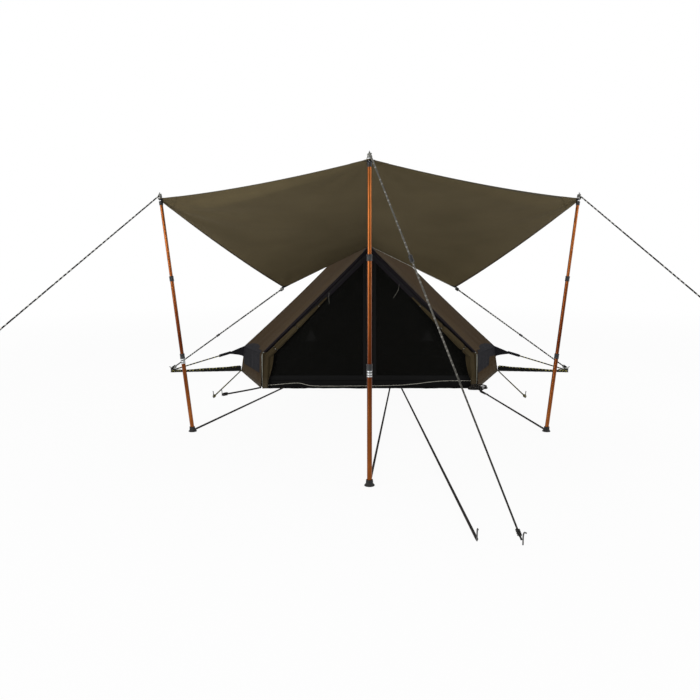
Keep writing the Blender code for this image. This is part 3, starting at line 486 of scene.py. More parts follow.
def rope_look(name, dark, light, fleck, share, run=0.032, radius=0.003, soiled=None):
    """A braided cord: two sets of strands that cross, with flecks of another yarn; a painted shade colours the grooves
    between the strands darker than their crowns.
    """
    made, tree = start_look(name, 0.85, specular=0.15)
    turned_by, far = (axis_of(tree, cloth_place(tree), axis) for axis in "XY")
    around = calc(tree, "MULTIPLY", turned_by, 2 * math.tau)
    along = calc(tree, "MULTIPLY", far, math.tau / (radius * 3.2))
    left = calc(tree, "SINE", calc(tree, "ADD", around, along))
    right = calc(tree, "SINE", calc(tree, "SUBTRACT", around, along))
    strand = calc(tree, "MULTIPLY", left, right)
    turn = calc(tree, "ADD", turned_by, calc(tree, "MULTIPLY", far, 1.0 / run))
    mark = calc(tree, "LESS_THAN", calc(tree, "FRACT", turn), share)
    broken = calc(tree, "GREATER_THAN", speckle(tree, object_place(tree), 45.0, 1.0), 0.46)
    # painted shade: the colour follows the strands' height, dark in the grooves and light on the crowns
    colour = blend_colour(tree, spread(tree, strand, -1.0, 1.0, 0.0, 1.0), dark, light)
    colour = blend_colour(tree, calc(tree, "MULTIPLY", mark, broken), colour, fleck)
    if soiled:
        height = axis_of(tree, object_place(tree), "Z")
        colour = blend_colour(tree, spread(tree, height, 0.5, 1.1, 0.85, 0.0), colour, soiled)
    return finish_look(made, colour, spread(tree, strand, -1.0, 1.0, 0.92, 0.74),
                       bump(tree, strand, 0.0007, 0.8))


def metal_look(name, dark, light, rough, metallic, specular=0.5, streak=(160.0, 160.0, 3.0),
               low_shade=None):
    """Drawn metal: fine lines along the tube, with small changes of colour and gloss, and where asked a painted shade
    that darkens it between 0.15 m and 1.9 m high, most at about 0.85 m.
    """
    made, tree = start_look(name, rough, metallic=metallic, specular=specular)
    here = object_place(tree)
    drawn = node(tree, "ShaderNodeMapping", {"Vector": here, "Scale": streak}).outputs[0]
    line = speckle(tree, drawn, 1.0, 3.0)
    patch = speckle(tree, here, 5.0, 3.0)
    share = weigh(tree, line, patch, 0.25)
    colour = blend_colour(tree, spread(tree, share, 0.3, 0.7, 0.0, 1.0), dark, light)
    # painted shade: the tube is coloured darker over its lower part, most at about 0.85 m high
    if low_shade:
        height = axis_of(tree, here, "Z")
        deep = calc(tree, "MULTIPLY", spread(tree, height, 0.15, 0.85, 0.0, 1.0),
                    spread(tree, height, 0.86, 1.9, 1.0, 0.0))
        colour = blend_colour(tree, deep, colour, low_shade)
    return finish_look(made, colour, spread(tree, share, 0.3, 0.7, rough - 0.06, rough + 0.10),
                       bump(tree, line, 0.0002, 0.25))


def moulded_look(name, dark, light, roughness, grain):
    """Moulded plastic or rubber with a fine grain and rubbed, lighter places."""
    made, tree = start_look(name, roughness, specular=0.3)
    here = object_place(tree)
    rubbed = speckle(tree, here, 38.0, 4.0)
    colour = blend_colour(tree, spread(tree, rubbed, 0.45, 0.75, 0.0, 1.0), dark, light)
    return finish_look(made, colour,
                       spread(tree, rubbed, 0.3, 0.7, roughness - 0.08, roughness + 0.08),
                       bump(tree, speckle(tree, here, grain, 2.0), 0.0003, 0.35))


def net_look(name, dark, light):
    """Insect mesh: threads with gaps between them, so that some light passes."""
    made, tree = start_look(name, 0.8, specular=0.04, alpha=0.94)
    cloth = cloth_place(tree)
    pitch = 0.0030
    thread = calc(tree, "MAXIMUM", ribs(tree, cloth, pitch, "X"), ribs(tree, cloth, pitch, "Y"))
    share = weigh(tree, speckle(tree, cloth, 2.5, 3.0), thread, 0.3)
    colour = blend_colour(tree, spread(tree, share, 0.3, 0.8, 0.0, 1.0), dark, light)
    return finish_look(made, colour, spread(tree, share, 0.3, 0.8, 0.75, 0.9))


def coated_look():
    """Coated groundsheet: a little gloss, creased from being packed."""
    made, tree = start_look("coated_floor", 0.5, specular=0.05)
    here = object_place(tree)
    fold = node(tree, "ShaderNodeTexVoronoi", {"Vector": here, "Scale": 3.2},
                feature="DISTANCE_TO_EDGE").outputs[0]
    line = spread(tree, fold, 0.0, 0.03, 1.0, 0.0)
    grime = speckle(tree, here, 6.0, 5.0)
    colour = blend_colour(tree, spread(tree, grime, 0.35, 0.75, 0.0, 1.0),
                          (0.0028, 0.0028, 0.0030), (0.0062, 0.0060, 0.0056))
    soft = bump(tree, speckle(tree, here, 14.0, 3.0), 0.01, 0.2)
    return finish_look(made, colour, spread(tree, grime, 0.3, 0.7, 0.42, 0.66),
                       bump(tree, line, 0.002, 0.4, soft))


AWNING_CANVAS = canvas_look("awning_canvas", (0.091, 0.071, 0.0360), (0.128, 0.101, 0.0540))
TENT_CANVAS = canvas_look("tent_canvas", (0.032, 0.0188, 0.0075), (0.048, 0.0288, 0.0122),
                          dusty=True)
# Lighter than the roof's canvas: a painted highlight along the roof's front edge.
FLAP_HIGHLIGHT_CANVAS = canvas_look("flap_canvas_painted_highlight", (0.040, 0.025, 0.0120), (0.064, 0.042, 0.0210))
DOOR_CANVAS = canvas_look("door_canvas", (0.030, 0.021, 0.010), (0.074, 0.058, 0.031), dusty=True)
BLACK_CANVAS = canvas_look("black_canvas", (0.0100, 0.0098, 0.0120), (0.0165, 0.0160, 0.0190),
                           pitch=0.0022)
SLEEVE_CANVAS = canvas_look("sleeve_canvas", (0.0110, 0.0092, 0.0115), (0.0195, 0.0165, 0.0200),
                            pitch=0.0022, crease=0.25)
SEAM_TAPE = tape_look("seam_tape", (0.045, 0.034, 0.021), (0.062, 0.048, 0.031),
                      (0.11, 0.09, 0.06), 0.0050)
EDGE_TAPE = tape_look("edge_tape", (0.060, 0.050, 0.031), (0.082, 0.070, 0.046),
                      (0.12, 0.10, 0.07), 0.0085)
HEM_TAPE = tape_look("hem_tape", (0.040, 0.029, 0.017), (0.058, 0.044, 0.027),
                     (0.10, 0.08, 0.05), 0.0085)
# A pale tape that is only painted light: the highlight along the awning's right rear edge and the light inside the
# rear vents.
PAINTED_LIGHT_TAPE = tape_look("painted_light_tape", (0.23, 0.22, 0.20), (0.32, 0.31, 0.28),
                      (0.42, 0.40, 0.36), 0.0045)
BLACK_TAPE = tape_look("black_tape", (0.008, 0.008, 0.0085), (0.014, 0.014, 0.0145),
                       (0.040, 0.040, 0.040), 0.0080)
WEBBING = tape_look("webbing", (0.005, 0.005, 0.005), (0.013, 0.013, 0.012),
                    (0.05, 0.05, 0.045), 0.0110, pitch=0.0020)
NET_TAPE = tape_look("net_tape", (0.0018, 0.0018, 0.0018), (0.0032, 0.0032, 0.0031),
                     (0.009, 0.009, 0.009), 0.0060)
DARK_ROPE = rope_look("dark_rope", (0.007, 0.007, 0.006), (0.022, 0.022, 0.020),
                      (0.50, 0.50, 0.47), 0.40, run=0.045, radius=0.006)
OLIVE_ROPE = rope_look("olive_rope", (0.008, 0.008, 0.006), (0.022, 0.022, 0.014),
                       (0.36, 0.33, 0.10), 0.36, run=0.045, radius=0.008)
GROUND_ROPE = rope_look("ground_rope", (0.008, 0.007, 0.006), (0.024, 0.022, 0.020),
                        (0.06, 0.055, 0.05), 0.30, radius=0.009)
PALE_ROPE = rope_look("pale_rope", (0.085, 0.082, 0.072), (0.19, 0.18, 0.16),
                      (0.27, 0.26, 0.235), 0.30, radius=0.006, soiled=(0.012, 0.012, 0.011))
LOOP_ROPE = rope_look("loop_rope", (0.18, 0.18, 0.165), (0.36, 0.36, 0.33),
                      (0.45, 0.45, 0.42), 0.30, radius=0.003)
TIE_CORD = rope_look("tie_cord", (0.16, 0.155, 0.13), (0.30, 0.29, 0.25), (0.36, 0.35, 0.30), 0.3,
                     radius=0.001)
# Pale piping along the floor's sill; the same look also makes the painted highlight along the awning's right rear
# edge.
PIPING_AND_HIGHLIGHT = rope_look("pale_piping_and_highlight", (0.40, 0.39, 0.34), (0.60, 0.58, 0.51), (0.66, 0.64, 0.56), 0.3,
                   radius=0.0025)
# The copper's darker colour over the lower tubes, most near the lower collar, is painted shade.
COPPER = metal_look("copper_anodised", (0.12, 0.025, 0.002), (0.36, 0.115, 0.025), 0.24, 0.60,
                    specular=0.1, low_shade=(0.075, 0.013, 0.001))
BARE_METAL = metal_look("grey_aluminium", (0.34, 0.35, 0.35), (0.50, 0.51, 0.51), 0.36, 0.75)
DULL_METAL = metal_look("dull_aluminium", (0.13, 0.14, 0.12), (0.22, 0.23, 0.20), 0.5, 0.35)
STEEL = metal_look("galvanised_steel", (0.34, 0.35, 0.36), (0.56, 0.56, 0.57), 0.32, 0.9,
                   streak=(60.0, 60.0, 40.0))
PEG_STEEL = metal_look("peg_steel", (0.050, 0.050, 0.048), (0.13, 0.13, 0.125), 0.5, 0.4,
                       specular=0.3, streak=(60.0, 60.0, 40.0))
BLACK_PLASTIC = moulded_look("black_plastic", (0.008, 0.008, 0.009), (0.024, 0.024, 0.026),
                             0.42, 900.0)
RUBBER = moulded_look("rubber", (0.010, 0.010, 0.010), (0.030, 0.029, 0.027), 0.72, 500.0)
# Near black and nearly opaque: the door's insect mesh, whose darkness also stands in for the painted shade of the
# tent's inside.
BLACK_NET_AND_SHADE = net_look("insect_mesh", (0.0036, 0.0037, 0.0031), (0.0058, 0.0058, 0.0052))
# A lighter mesh that is only painted light: the rear vents' light seen through the doorway, put on the door nets.
VENT_LIGHT_NET = net_look("doubled_mesh", (0.0075, 0.0075, 0.0070), (0.0110, 0.0110, 0.0105))
COATED = coated_look()


# Building pieces

def mirrored(point, side):
    return Vector((point[0] * side, point[1], point[2]))


def mix(first, second, share):
    return Vector(first).lerp(Vector(second), share)


def up(height):
    return Vector((0.0, 0.0, height))


def facing(normal, axis=2):
    """The normal, turned to the positive side of an axis."""
    return -normal if normal[axis] < 0 else normal


def ease(value):
    value = min(max(value, 0.0), 1.0)
    return value * value * (3 - 2 * value)


def piece(name, work, look, angle=40.0):
    mesh = bpy.data.meshes.new(name)
    work.to_mesh(mesh)
    work.free()
    mesh.materials.append(look)
    item = bpy.data.objects.new(name, mesh)
    bpy.context.scene.collection.objects.link(item)
    mesh.shade_smooth()
    mesh.set_sharp_from_angle(angle=math.radians(angle))
    return item


def settle(item):
    """Makes the piece's modifiers real."""
    bpy.context.view_layer.update()
    graph = bpy.context.evaluated_depsgraph_get()
    mesh = bpy.data.meshes.new_from_object(item.evaluated_get(graph),
                                           preserve_all_data_layers=True, depsgraph=graph)
    item.modifiers.clear()
    old = item.data
    item.data = mesh
    bpy.data.meshes.remove(old)
    return item


def thicken(item, thickness, angle=40.0):
    wall = item.modifiers.new("thickness", "SOLIDIFY")
    wall.thickness = thickness
    wall.offset = 0.0
    settle(item)
    item.data.shade_smooth()
    item.data.set_sharp_from_angle(angle=math.radians(angle))
    return item


def grid(surface, columns, rows, side=1, metres=(1.0, 1.0)):
    """A grid whose point (u, v), both from 0 to 1, lies at surface(u, v)."""
    work = bmesh.new()
    chart = work.loops.layers.uv.new("UVMap")
    bmesh.ops.create_grid(work, x_segments=columns, y_segments=rows, size=0.5, calc_uvs=True)
    for face in work.faces:
        for loop in face.loops:
            u, v = loop[chart].uv
            loop[chart].uv = (u * metres[0], v * metres[1])
    for vert in work.verts:
        vert.co = mirrored(surface(vert.co.x + 0.5, vert.co.y + 0.5), side)
    if side < 0:
        bmesh.ops.reverse_faces(work, faces=work.faces)
    return work


def weld(work, near=WELD):
    bmesh.ops.remove_doubles(work, verts=work.verts, dist=near)


def centre_chart(work, width):
    """Moves the chart of a strip so that its middle line is at 0."""
    chart = work.loops.layers.uv.verify()
    for face in work.faces:
        for loop in face.loops:
            loop[chart].uv.x -= width / 2


def rims(work):
    return [edge for edge in work.edges if edge.is_boundary]


def cloth_area(item):
    return round(sum(face.area for face in item.data.polygons) / 2, 2)


def sewn(name, work, look, thickness=TRIM_THICK, slot="canvas", body="shelter", replaces=()):
    """A thickened cloth that rides on a body."""
    return ride(thicken(piece(name, work, look), thickness), body, slot, *replaces)


def turned(name, profile, look, origin=(0, 0, 0), axis=(0, 0, 1), sides=40, closed=True,
           shape=None):
    """A turned piece from its outline of (radius, height)."""
    work = bmesh.new()
    points = [work.verts.new((radius, 0.0, height)) for radius, height in profile]
    pairs = list(zip(points, points[1:]))
    if closed:
        pairs.append((points[-1], points[0]))
    edges = [work.edges.new(pair) for pair in pairs]
    bmesh.ops.spin(work, geom=points + edges, cent=(0, 0, 0), axis=(0, 0, 1), dvec=(0, 0, 0),
                   angle=math.tau, steps=sides, use_merge=True, use_duplicate=False)
    weld(work, 0.00001)
    bmesh.ops.recalc_face_normals(work, faces=work.faces)
    if shape:
        for vert in work.verts:
            shape(vert)
    turn = Vector(axis).to_track_quat("Z", "Y").to_matrix().to_4x4()
    bmesh.ops.transform(work, matrix=Matrix.Translation(Vector(origin)) @ turn, verts=work.verts)
    return piece(name, work, look, 35.0)


def frames(points, radii):
    """The place, turn and size of a cord's section at each of its points."""
    made = []
    normal = None
    for i, at in enumerate(points):
        before = points[max(i - 1, 0)]
        after = points[min(i + 1, len(points) - 1)]
        way = (after - before).normalized()
        if normal is None:
            flat = up(1.0) if abs(way.z) < 0.9 else Vector((1.0, 0.0, 0.0))
            normal = (flat - way * flat.dot(way)).normalized()
        else:
            normal = (normal - way * normal.dot(way)).normalized()
        across = way.cross(normal)
        size = radii[i] if isinstance(radii, (list, tuple)) else radii
        made.append(Matrix((
            (normal.x * size, across.x * size, way.x, at.x),
            (normal.y * size, across.y * size, way.y, at.y),
            (normal.z * size, across.z * size, way.z, at.z),
            (0.0, 0.0, 0.0, 1.0),
        )))
    return made


def extruded(work, edges):
    """The new points of extruded edges, and the new edges that join them."""
    made = bmesh.ops.extrude_edge_only(work, edges=edges)["geom"]
    fresh = [g for g in made if isinstance(g, bmesh.types.BMVert)]
    kept = set(fresh)
    return fresh, [g for g in made if isinstance(g, bmesh.types.BMEdge)
                   and g.verts[0] in kept and g.verts[1] in kept]


def swept(name, points, radii, look, sides=10):
    """A round cord along points, closed at its ends, charted in metres along its length."""
    points = [Vector(point) for point in points]
    places = frames(points, radii)
    work = bmesh.new()
    chart = work.loops.layers.uv.new("UVMap")
    ring = bmesh.ops.create_circle(work, segments=sides, radius=1.0)["verts"]
    knots = {vert: (k, 0.0) for k, vert in enumerate(ring)}
    edges = list(work.edges)
    first = list(edges)
    bmesh.ops.transform(work, matrix=places[0], verts=ring)
    length = 0.0
    for i in range(1, len(points)):
        length += (points[i] - points[i - 1]).length
        fresh, edges = extruded(work, edges)
        for vert in fresh:
            for edge in vert.link_edges:
                other = edge.other_vert(vert)
                if other in knots:
                    knots[vert] = (knots[other][0], length)
                    break
        bmesh.ops.transform(work, matrix=places[i] @ places[i - 1].inverted(), verts=fresh)
    for face in work.faces:
        turns = [knots[loop.vert][0] for loop in face.loops]
        over = max(turns) == sides - 1 and min(turns) == 0
        for loop in face.loops:
            turn, far = knots[loop.vert]
            loop[chart].uv = ((sides if over and turn == 0 else turn) / sides, far)
    bmesh.ops.edgeloop_fill(work, edges=first)
    bmesh.ops.edgeloop_fill(work, edges=edges)
    bmesh.ops.recalc_face_normals(work, faces=work.faces)
    return piece(name, work, look, 50.0)


def straight(start, end, count=20):
    return [mix(start, end, i / (count - 1)) for i in range(count)]


def smooth_path(corners, count):
    """Points evenly spread over a smooth curve through the corners."""
    corners = [Vector(c) for c in corners]
    padded = [corners[0] * 2 - corners[1]] + corners + [corners[-1] * 2 - corners[-2]]
    fine = []
    for a, b, c, d in zip(padded, padded[1:], padded[2:], padded[3:]):
        for i in range(24):
            t = i / 24
            fine.append(0.5 * ((2 * b) + (c - a) * t + (2 * a - 5 * b + 4 * c - d) * t * t
                               + (3 * b - a - 3 * c + d) * t * t * t))
    fine.append(corners[-1])
    gone = [0.0]
    for before, after in zip(fine, fine[1:]):
        gone.append(gone[-1] + (after - before).length)
    points = []
    k = 0
    for i in range(count):
        want = gone[-1] * i / (count - 1)
        while k < len(gone) - 2 and gone[k + 1] < want:
            k += 1
        step = gone[k + 1] - gone[k]
        points.append(mix(fine[k], fine[k + 1], (want - gone[k]) / step if step else 0.0))
    return points


def path_length(points):
    return sum((b - a).length for a, b in zip(points, points[1:]))


def ride(item, body, slot, *replaced):
    """Hangs a piece on a body, and names the frame's nodes that it stands for."""
    if replaced:
        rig.replaces(item, *replaced)
    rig.ride(item, body)
    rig.slot(item, slot)
    return item


# Camera, light and floor

def seen_directly(tree):
    """1 where a ray comes straight from the camera, or by way of metal or glass."""
    ray = node(tree, "ShaderNodeLightPath").outputs
    return calc(tree, "MAXIMUM", ray["Is Camera Ray"],
                calc(tree, "MAXIMUM", ray["Is Glossy Ray"], ray["Is Transmission Ray"]))


def build_studio():
    scene = bpy.context.scene
    scene.view_settings.view_transform = "Standard"
    data = bpy.data.cameras.new("photo_view")
    data.lens = 36.0
    data.sensor_width = 36.0
    data.shift_x = PHOTO_SHIFT / PHOTO_WIDE
    data.clip_end = 200.0
    camera = bpy.data.objects.new("photo_view", data)
    camera.location = CAMERA_PLACE
    camera.rotation_euler = (math.radians(90.0 - CAMERA_PITCH), 0.0, 0.0)
    scene.collection.objects.link(camera)
    scene.camera = camera

    world = bpy.data.worlds.new("studio")
    world.use_nodes = True
    tree = world.node_tree
    backdrop = tree.nodes["Background"]
    sky = node(tree, "ShaderNodeBackground")
    height = axis_of(tree, node(tree, "ShaderNodeTexCoord").outputs["Generated"], "Z")
    level = spread(tree, height, -0.1, 0.9, *SKY_LEVEL)
    tree.links.new(level, sky.inputs["Strength"])
    choice = node(tree, "ShaderNodeMixShader", {0: seen_directly(tree), 1: sky.outputs[0]})
    backdrop.inputs["Color"].default_value = (1.0, 1.0, 1.0, 1.0)
    backdrop.inputs["Strength"].default_value = 1.0
    tree.links.new(backdrop.outputs[0], choice.inputs[2])
    tree.links.new(choice.outputs[0], tree.nodes["World Output"].inputs["Surface"])
    scene.world = world

    for name, place, aim, size, power in (
            ("key", (-6.5, -9.5, 1.5), (0.0, -2.8, 1.6), 3.0, 420.0),
            ("fill", (8.0, -6.0, 3.0), (0.0, -2.6, 1.2), 3.0, 290.0),
            ("top", (-1.5, -1.0, 8.0), (0.0, -1.5, 0.5), 5.0, 200.0)):
        lamp = bpy.data.lights.new(name, "AREA")
        lamp.size = size
        lamp.energy = power
        item = bpy.data.objects.new(name, lamp)
        item.location = place
        item.rotation_euler = (Vector(aim) - Vector(place)).to_track_quat("-Z", "Y").to_euler()
        scene.collection.objects.link(item)

    made = bpy.data.materials.new("studio_floor")
    made.use_nodes = True
    tree = made.node_tree
    shader = tree.nodes["Principled BSDF"]
    shader.inputs["Base Color"].default_value = (0.80, 0.80, 0.80, 1.0)
    shader.inputs["Roughness"].default_value = 0.9
    shader.inputs["Specular IOR Level"].default_value = 0.1
    glow = node(tree, "ShaderNodeEmission", {"Color": (1, 1, 1, 1), "Strength": 1.0})
    away = node(tree, "ShaderNodeVectorMath", {0: object_place(tree)},
                operation="LENGTH").outputs["Value"]
    share = calc(tree, "MULTIPLY", seen_directly(tree),
                 spread(tree, away, *GLOW_REACH, *GLOW_SHARE))
    mixed = node(tree, "ShaderNodeMixShader", {0: share, 1: shader.outputs[0],
                                               2: glow.outputs[0]})
    tree.links.new(mixed.outputs[0], tree.nodes["Material Output"].inputs["Surface"])
    work = bmesh.new()
    bmesh.ops.create_grid(work, x_segments=1, y_segments=1, size=FLOOR_HALF)
    bmesh.ops.translate(work, verts=work.verts, vec=up(-FLOOR_DROP))
    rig.stage(piece("studio_floor", work, made))


# Cords

def fixed_cord(name, points, radius, look, slot, lay="taut", replaces=None, stiffness="medium",
               with_pieces=(), far_end="object", body="shelter"):
    item = swept(name, points, radius, look)
    if replaces:
        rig.replaces(item, replaces)
    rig.slot(item, slot)
    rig.cord(item, exit=points[0], length=round(path_length(points), 3), diameter=2 * radius,
            far_end=far_end, stiffness=stiffness, lay=lay, path=points, with_pieces=with_pieces)
    if body:
        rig.ride(item, body)
    return item


def coil(name, centre, way, radius, thick, turns, look, rise):
    """A few tight turns round a line, as in a hitch."""
    way = Vector(way).normalized()
    side = way.orthogonal().normalized()
    other = way.cross(side)
    count = int(turns * 12) + 1
    points = []
    for i in range(count):
        turn = math.tau * i / 12
        points.append(Vector(centre) + way * (rise * i / 12 - rise * turns / 2)
                      + (side * math.cos(turn) + other * math.sin(turn)) * radius)
    return swept(name, points, thick, look, sides=7)


def build_peg(name, at, towards, *replaced):
    """A steel peg's head, whose hook leans away from its cord."""
    away = Vector((at.x - towards[0], at.y - towards[1], 0.0)).normalized()
    top = at + up(PEG_HIGH)
    corners = [Vector(at), at + up(PEG_HIGH * 0.7),
               top + away * PEG_HOOK * 0.30 - up(0.001),
               top + away * PEG_HOOK]
    item = swept(name, smooth_path(corners, 16), PEG_R, PEG_STEEL, sides=12)
    return ride(item, "shelter", "steel", *replaced)


def meet_peg(start, peg, catch, radius):
    """Where a line from start ends, square to itself, beside a peg's shank."""
    at = Vector((peg.x, peg.y, catch))
    flat = Vector((start.x - at.x, start.y - at.y, 0.0)).normalized()
    slope = start - at
    return at + flat * (PEG_R + FIT + radius * abs(slope.z) / slope.length * 1.05)


def leave_spigot(head, axis, peg):
    """Where a guyline leaves the spigot of its pole."""
    centre = head + axis * GUY_HEIGHT
    flat = Vector((peg.x - centre.x, peg.y - centre.y, 0.0)).normalized()
    steep = abs((peg - centre).normalized().z)
    return centre + flat * (SPIGOT_R + FIT + GUY_R * steep)


def build_head_loop(word, head, axis, look, slot):
    """The loop that ties the guyline to the eyelet, and the hitch round the spigot."""
    wide = Vector((1.0, 0.0, 0.0))
    legs = [head - wide * 0.020 + axis * 0.004, head - wide * 0.012 + axis * 0.026,
            head - wide * 0.004 + axis * 0.048, head + axis * 0.056,
            head + wide * 0.004 + axis * 0.048, head + wide * 0.012 + axis * 0.026,
            head + wide * 0.020 + axis * 0.004]
    front = Vector((0.0, -SPIGOT_R - 0.003, 0.0))
    loop = swept(f"{word}_eyelet_loop", smooth_path([leg + front for leg in legs], 28), 0.0028,
                 look, sides=8)
    hitch = coil(f"{word}_spigot_hitch", head + axis * GUY_HEIGHT, axis,
                 SPIGOT_R + GUY_R + 0.0004, GUY_R, 2.0, look, 2 * GUY_R)
    knot = coil(f"{word}_eyelet_knot", head + wide * 0.012 + axis * 0.018 + front, axis, 0.0045,
                0.0030, 3.0, DARK_ROPE, 0.0055)
    return [ride(item, f"{word}_top", slot) for item in (loop, hitch, knot)]


def build_head_lines():
    for word, foot, head, side, _, peg in POLES:
        pale = word == "center"
        look, slot = (PALE_ROPE, "pale_cord") if pale else (DARK_ROPE, "black_cord")
        foot, head, peg = (mirrored(place, side) for place in (foot, head, peg))
        axis = (head - foot).normalized()
        start = leave_spigot(head, axis, peg)
        end = meet_peg(start, peg, PEG_CATCH, GUY_R)
        way = (end - start).normalized()
        tied = build_head_loop(word, head, axis, LOOP_ROPE, slot)
        low = coil(f"{word}_peg_knot", end - way * 0.045, way, GUY_R * 1.6, GUY_R * 0.85, 4.0,
                   look, 1.7 * GUY_R)
        ride(low, "shelter", slot)
        line = fixed_cord(f"{word}_guy_rope", straight(start, end, 24), GUY_R, look, slot,
                          replaces=f"{word}_guyline", with_pieces=tied + [low], body=None)
        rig.blend(line, "shelter", f"{word}_top", start=end, end=start)
        build_peg(f"{word}_steel_peg", peg, start, f"{word}_peg")


def rear_line(side):
    """The peg, and the ends of the line to it from the awning's rear corner."""
    peg = mirrored(TENT_PEG, side)
    corner = mirrored(awning_point(AWNING_WIDER, 0.0), side)
    flat = Vector((peg.x - corner.x, peg.y - corner.y, 0.0)).normalized()
    start = corner + flat * (FIT + THIN_R * 0.75) - up(0.002)
    return peg, start, meet_peg(start, peg, REAR_CATCH, THIN_R)


def build_tent_lines():
    """The lines from the awning's rear corners and the tent's side corners to their pegs."""
    for side, word in BOTH:
        peg, start, end = rear_line(side)
        way = (end - start).normalized()
        knot = coil(f"{word}_rear_knot", start + way * 0.030, way, THIN_R * 1.6, THIN_R * 0.85,
                    3.0, DARK_ROPE, 1.7 * THIN_R)
        hitch = coil(f"{word}_rear_hitch", end - way * 0.055, way, THIN_R * 1.8, THIN_R * 0.9,
                     6.0, DARK_ROPE, 1.7 * THIN_R)
        for trim in (knot, hitch):
            ride(trim, "shelter", "black_cord")
        fixed_cord(f"{word}_rear_guy_rope", straight(start, end, 20), THIN_R, DARK_ROPE,
                   "black_cord", replaces=f"{word}_rear_guyline", with_pieces=[knot, hitch])
        start = mirrored((TAB_TIP_X + 2 * FIT + THIN_R * 0.35, 0.0, TAB_TIP_Z), side)
        end = meet_peg(start, peg, EAVE_CATCH, THIN_R)
        way = (end - start).normalized()
        knot = coil(f"{word}_eave_knot", start + way * 0.040, way, THIN_R * 1.5, THIN_R * 0.95,
                    10.0, BLACK_CANVAS, 1.9 * THIN_R)
        ride(knot, "shelter", "black_cord")
        fixed_cord(f"{word}_eave_guy_rope", straight(start, end, 15), THIN_R, OLIVE_ROPE,
                   "black_cord", replaces=f"{word}_eave_guyline", with_pieces=[knot])
        build_peg(f"{word}_tent_steel_peg", peg, start, f"{word}_tent_peg")
        build_side_rope(word, side)


def build_side_rope(word, side):
    """The doubled rope that runs over the strap from the floor's side corner to its peg."""
    foot = Vector((1.787, -0.012, 0.074))
    stop = TENT_PEG + Vector((-0.013, -0.006, 0.0))
    for number, over in enumerate((1, -1), 1):
        points = []
        for i in range(30):
            share = i / 29
            at = mix(foot, stop + up(0.026), share)
            free = math.sin(math.pi * share)
            at.y += over * 0.0085 - 0.004 + 0.006 * free * math.sin(share * 17.0 + over)
            at.z += 0.005 * free * math.sin(share * 11.0 + 2.0 * over) - 0.010 * free
            points.append(mirrored(at, side))
        fixed_cord(f"{word}_side_rope_{number}", points, SIDE_ROPE_R, OLIVE_ROPE, "black_cord",
                   lay="loose")
    way = (stop - foot).normalized()
    middle = mirrored(stop - way * 0.062 + up(0.018), side)
    lashing = coil(f"{word}_strap_lashing", middle, mirrored(way, side), 0.017, 0.0045, 7.0,
                   OLIVE_ROPE, 0.016)
    ride(lashing, "shelter", "black_cord")


def build_buckle(at, way):
    """The ladder buckle that takes up the slack of a foot cord."""
    work = bmesh.new()
    bmesh.ops.create_grid(work, x_segments=7, y_segments=3, size=0.5)
    slots = [face for face in work.faces
             if abs(face.calc_center_median().y) < 0.1
             and round(face.calc_center_median().x * 7) in (-2, 0, 2)]
    bmesh.ops.delete(work, geom=slots, context="FACES")
    bmesh.ops.scale(work, verts=work.verts, vec=(0.048, 0.034, 1.0))
    bmesh.ops.solidify(work, geom=work.faces[:], thickness=0.006)
    bmesh.ops.recalc_face_normals(work, faces=work.faces)
    sharp = [edge for edge in work.edges if edge.calc_face_angle(0.0) > 1.0]
    bmesh.ops.bevel(work, geom=sharp, offset=0.0009, segments=2, profile=0.5, affect="EDGES",
                    material=-1)
    turn = Vector(way).to_track_quat("X", "Z").to_matrix().to_4x4()
    bmesh.ops.transform(work, matrix=Matrix.Translation(at) @ turn, verts=work.verts)
    return ride(piece("slack_buckle", work, BLACK_PLASTIC), "shelter", "black_plastic")


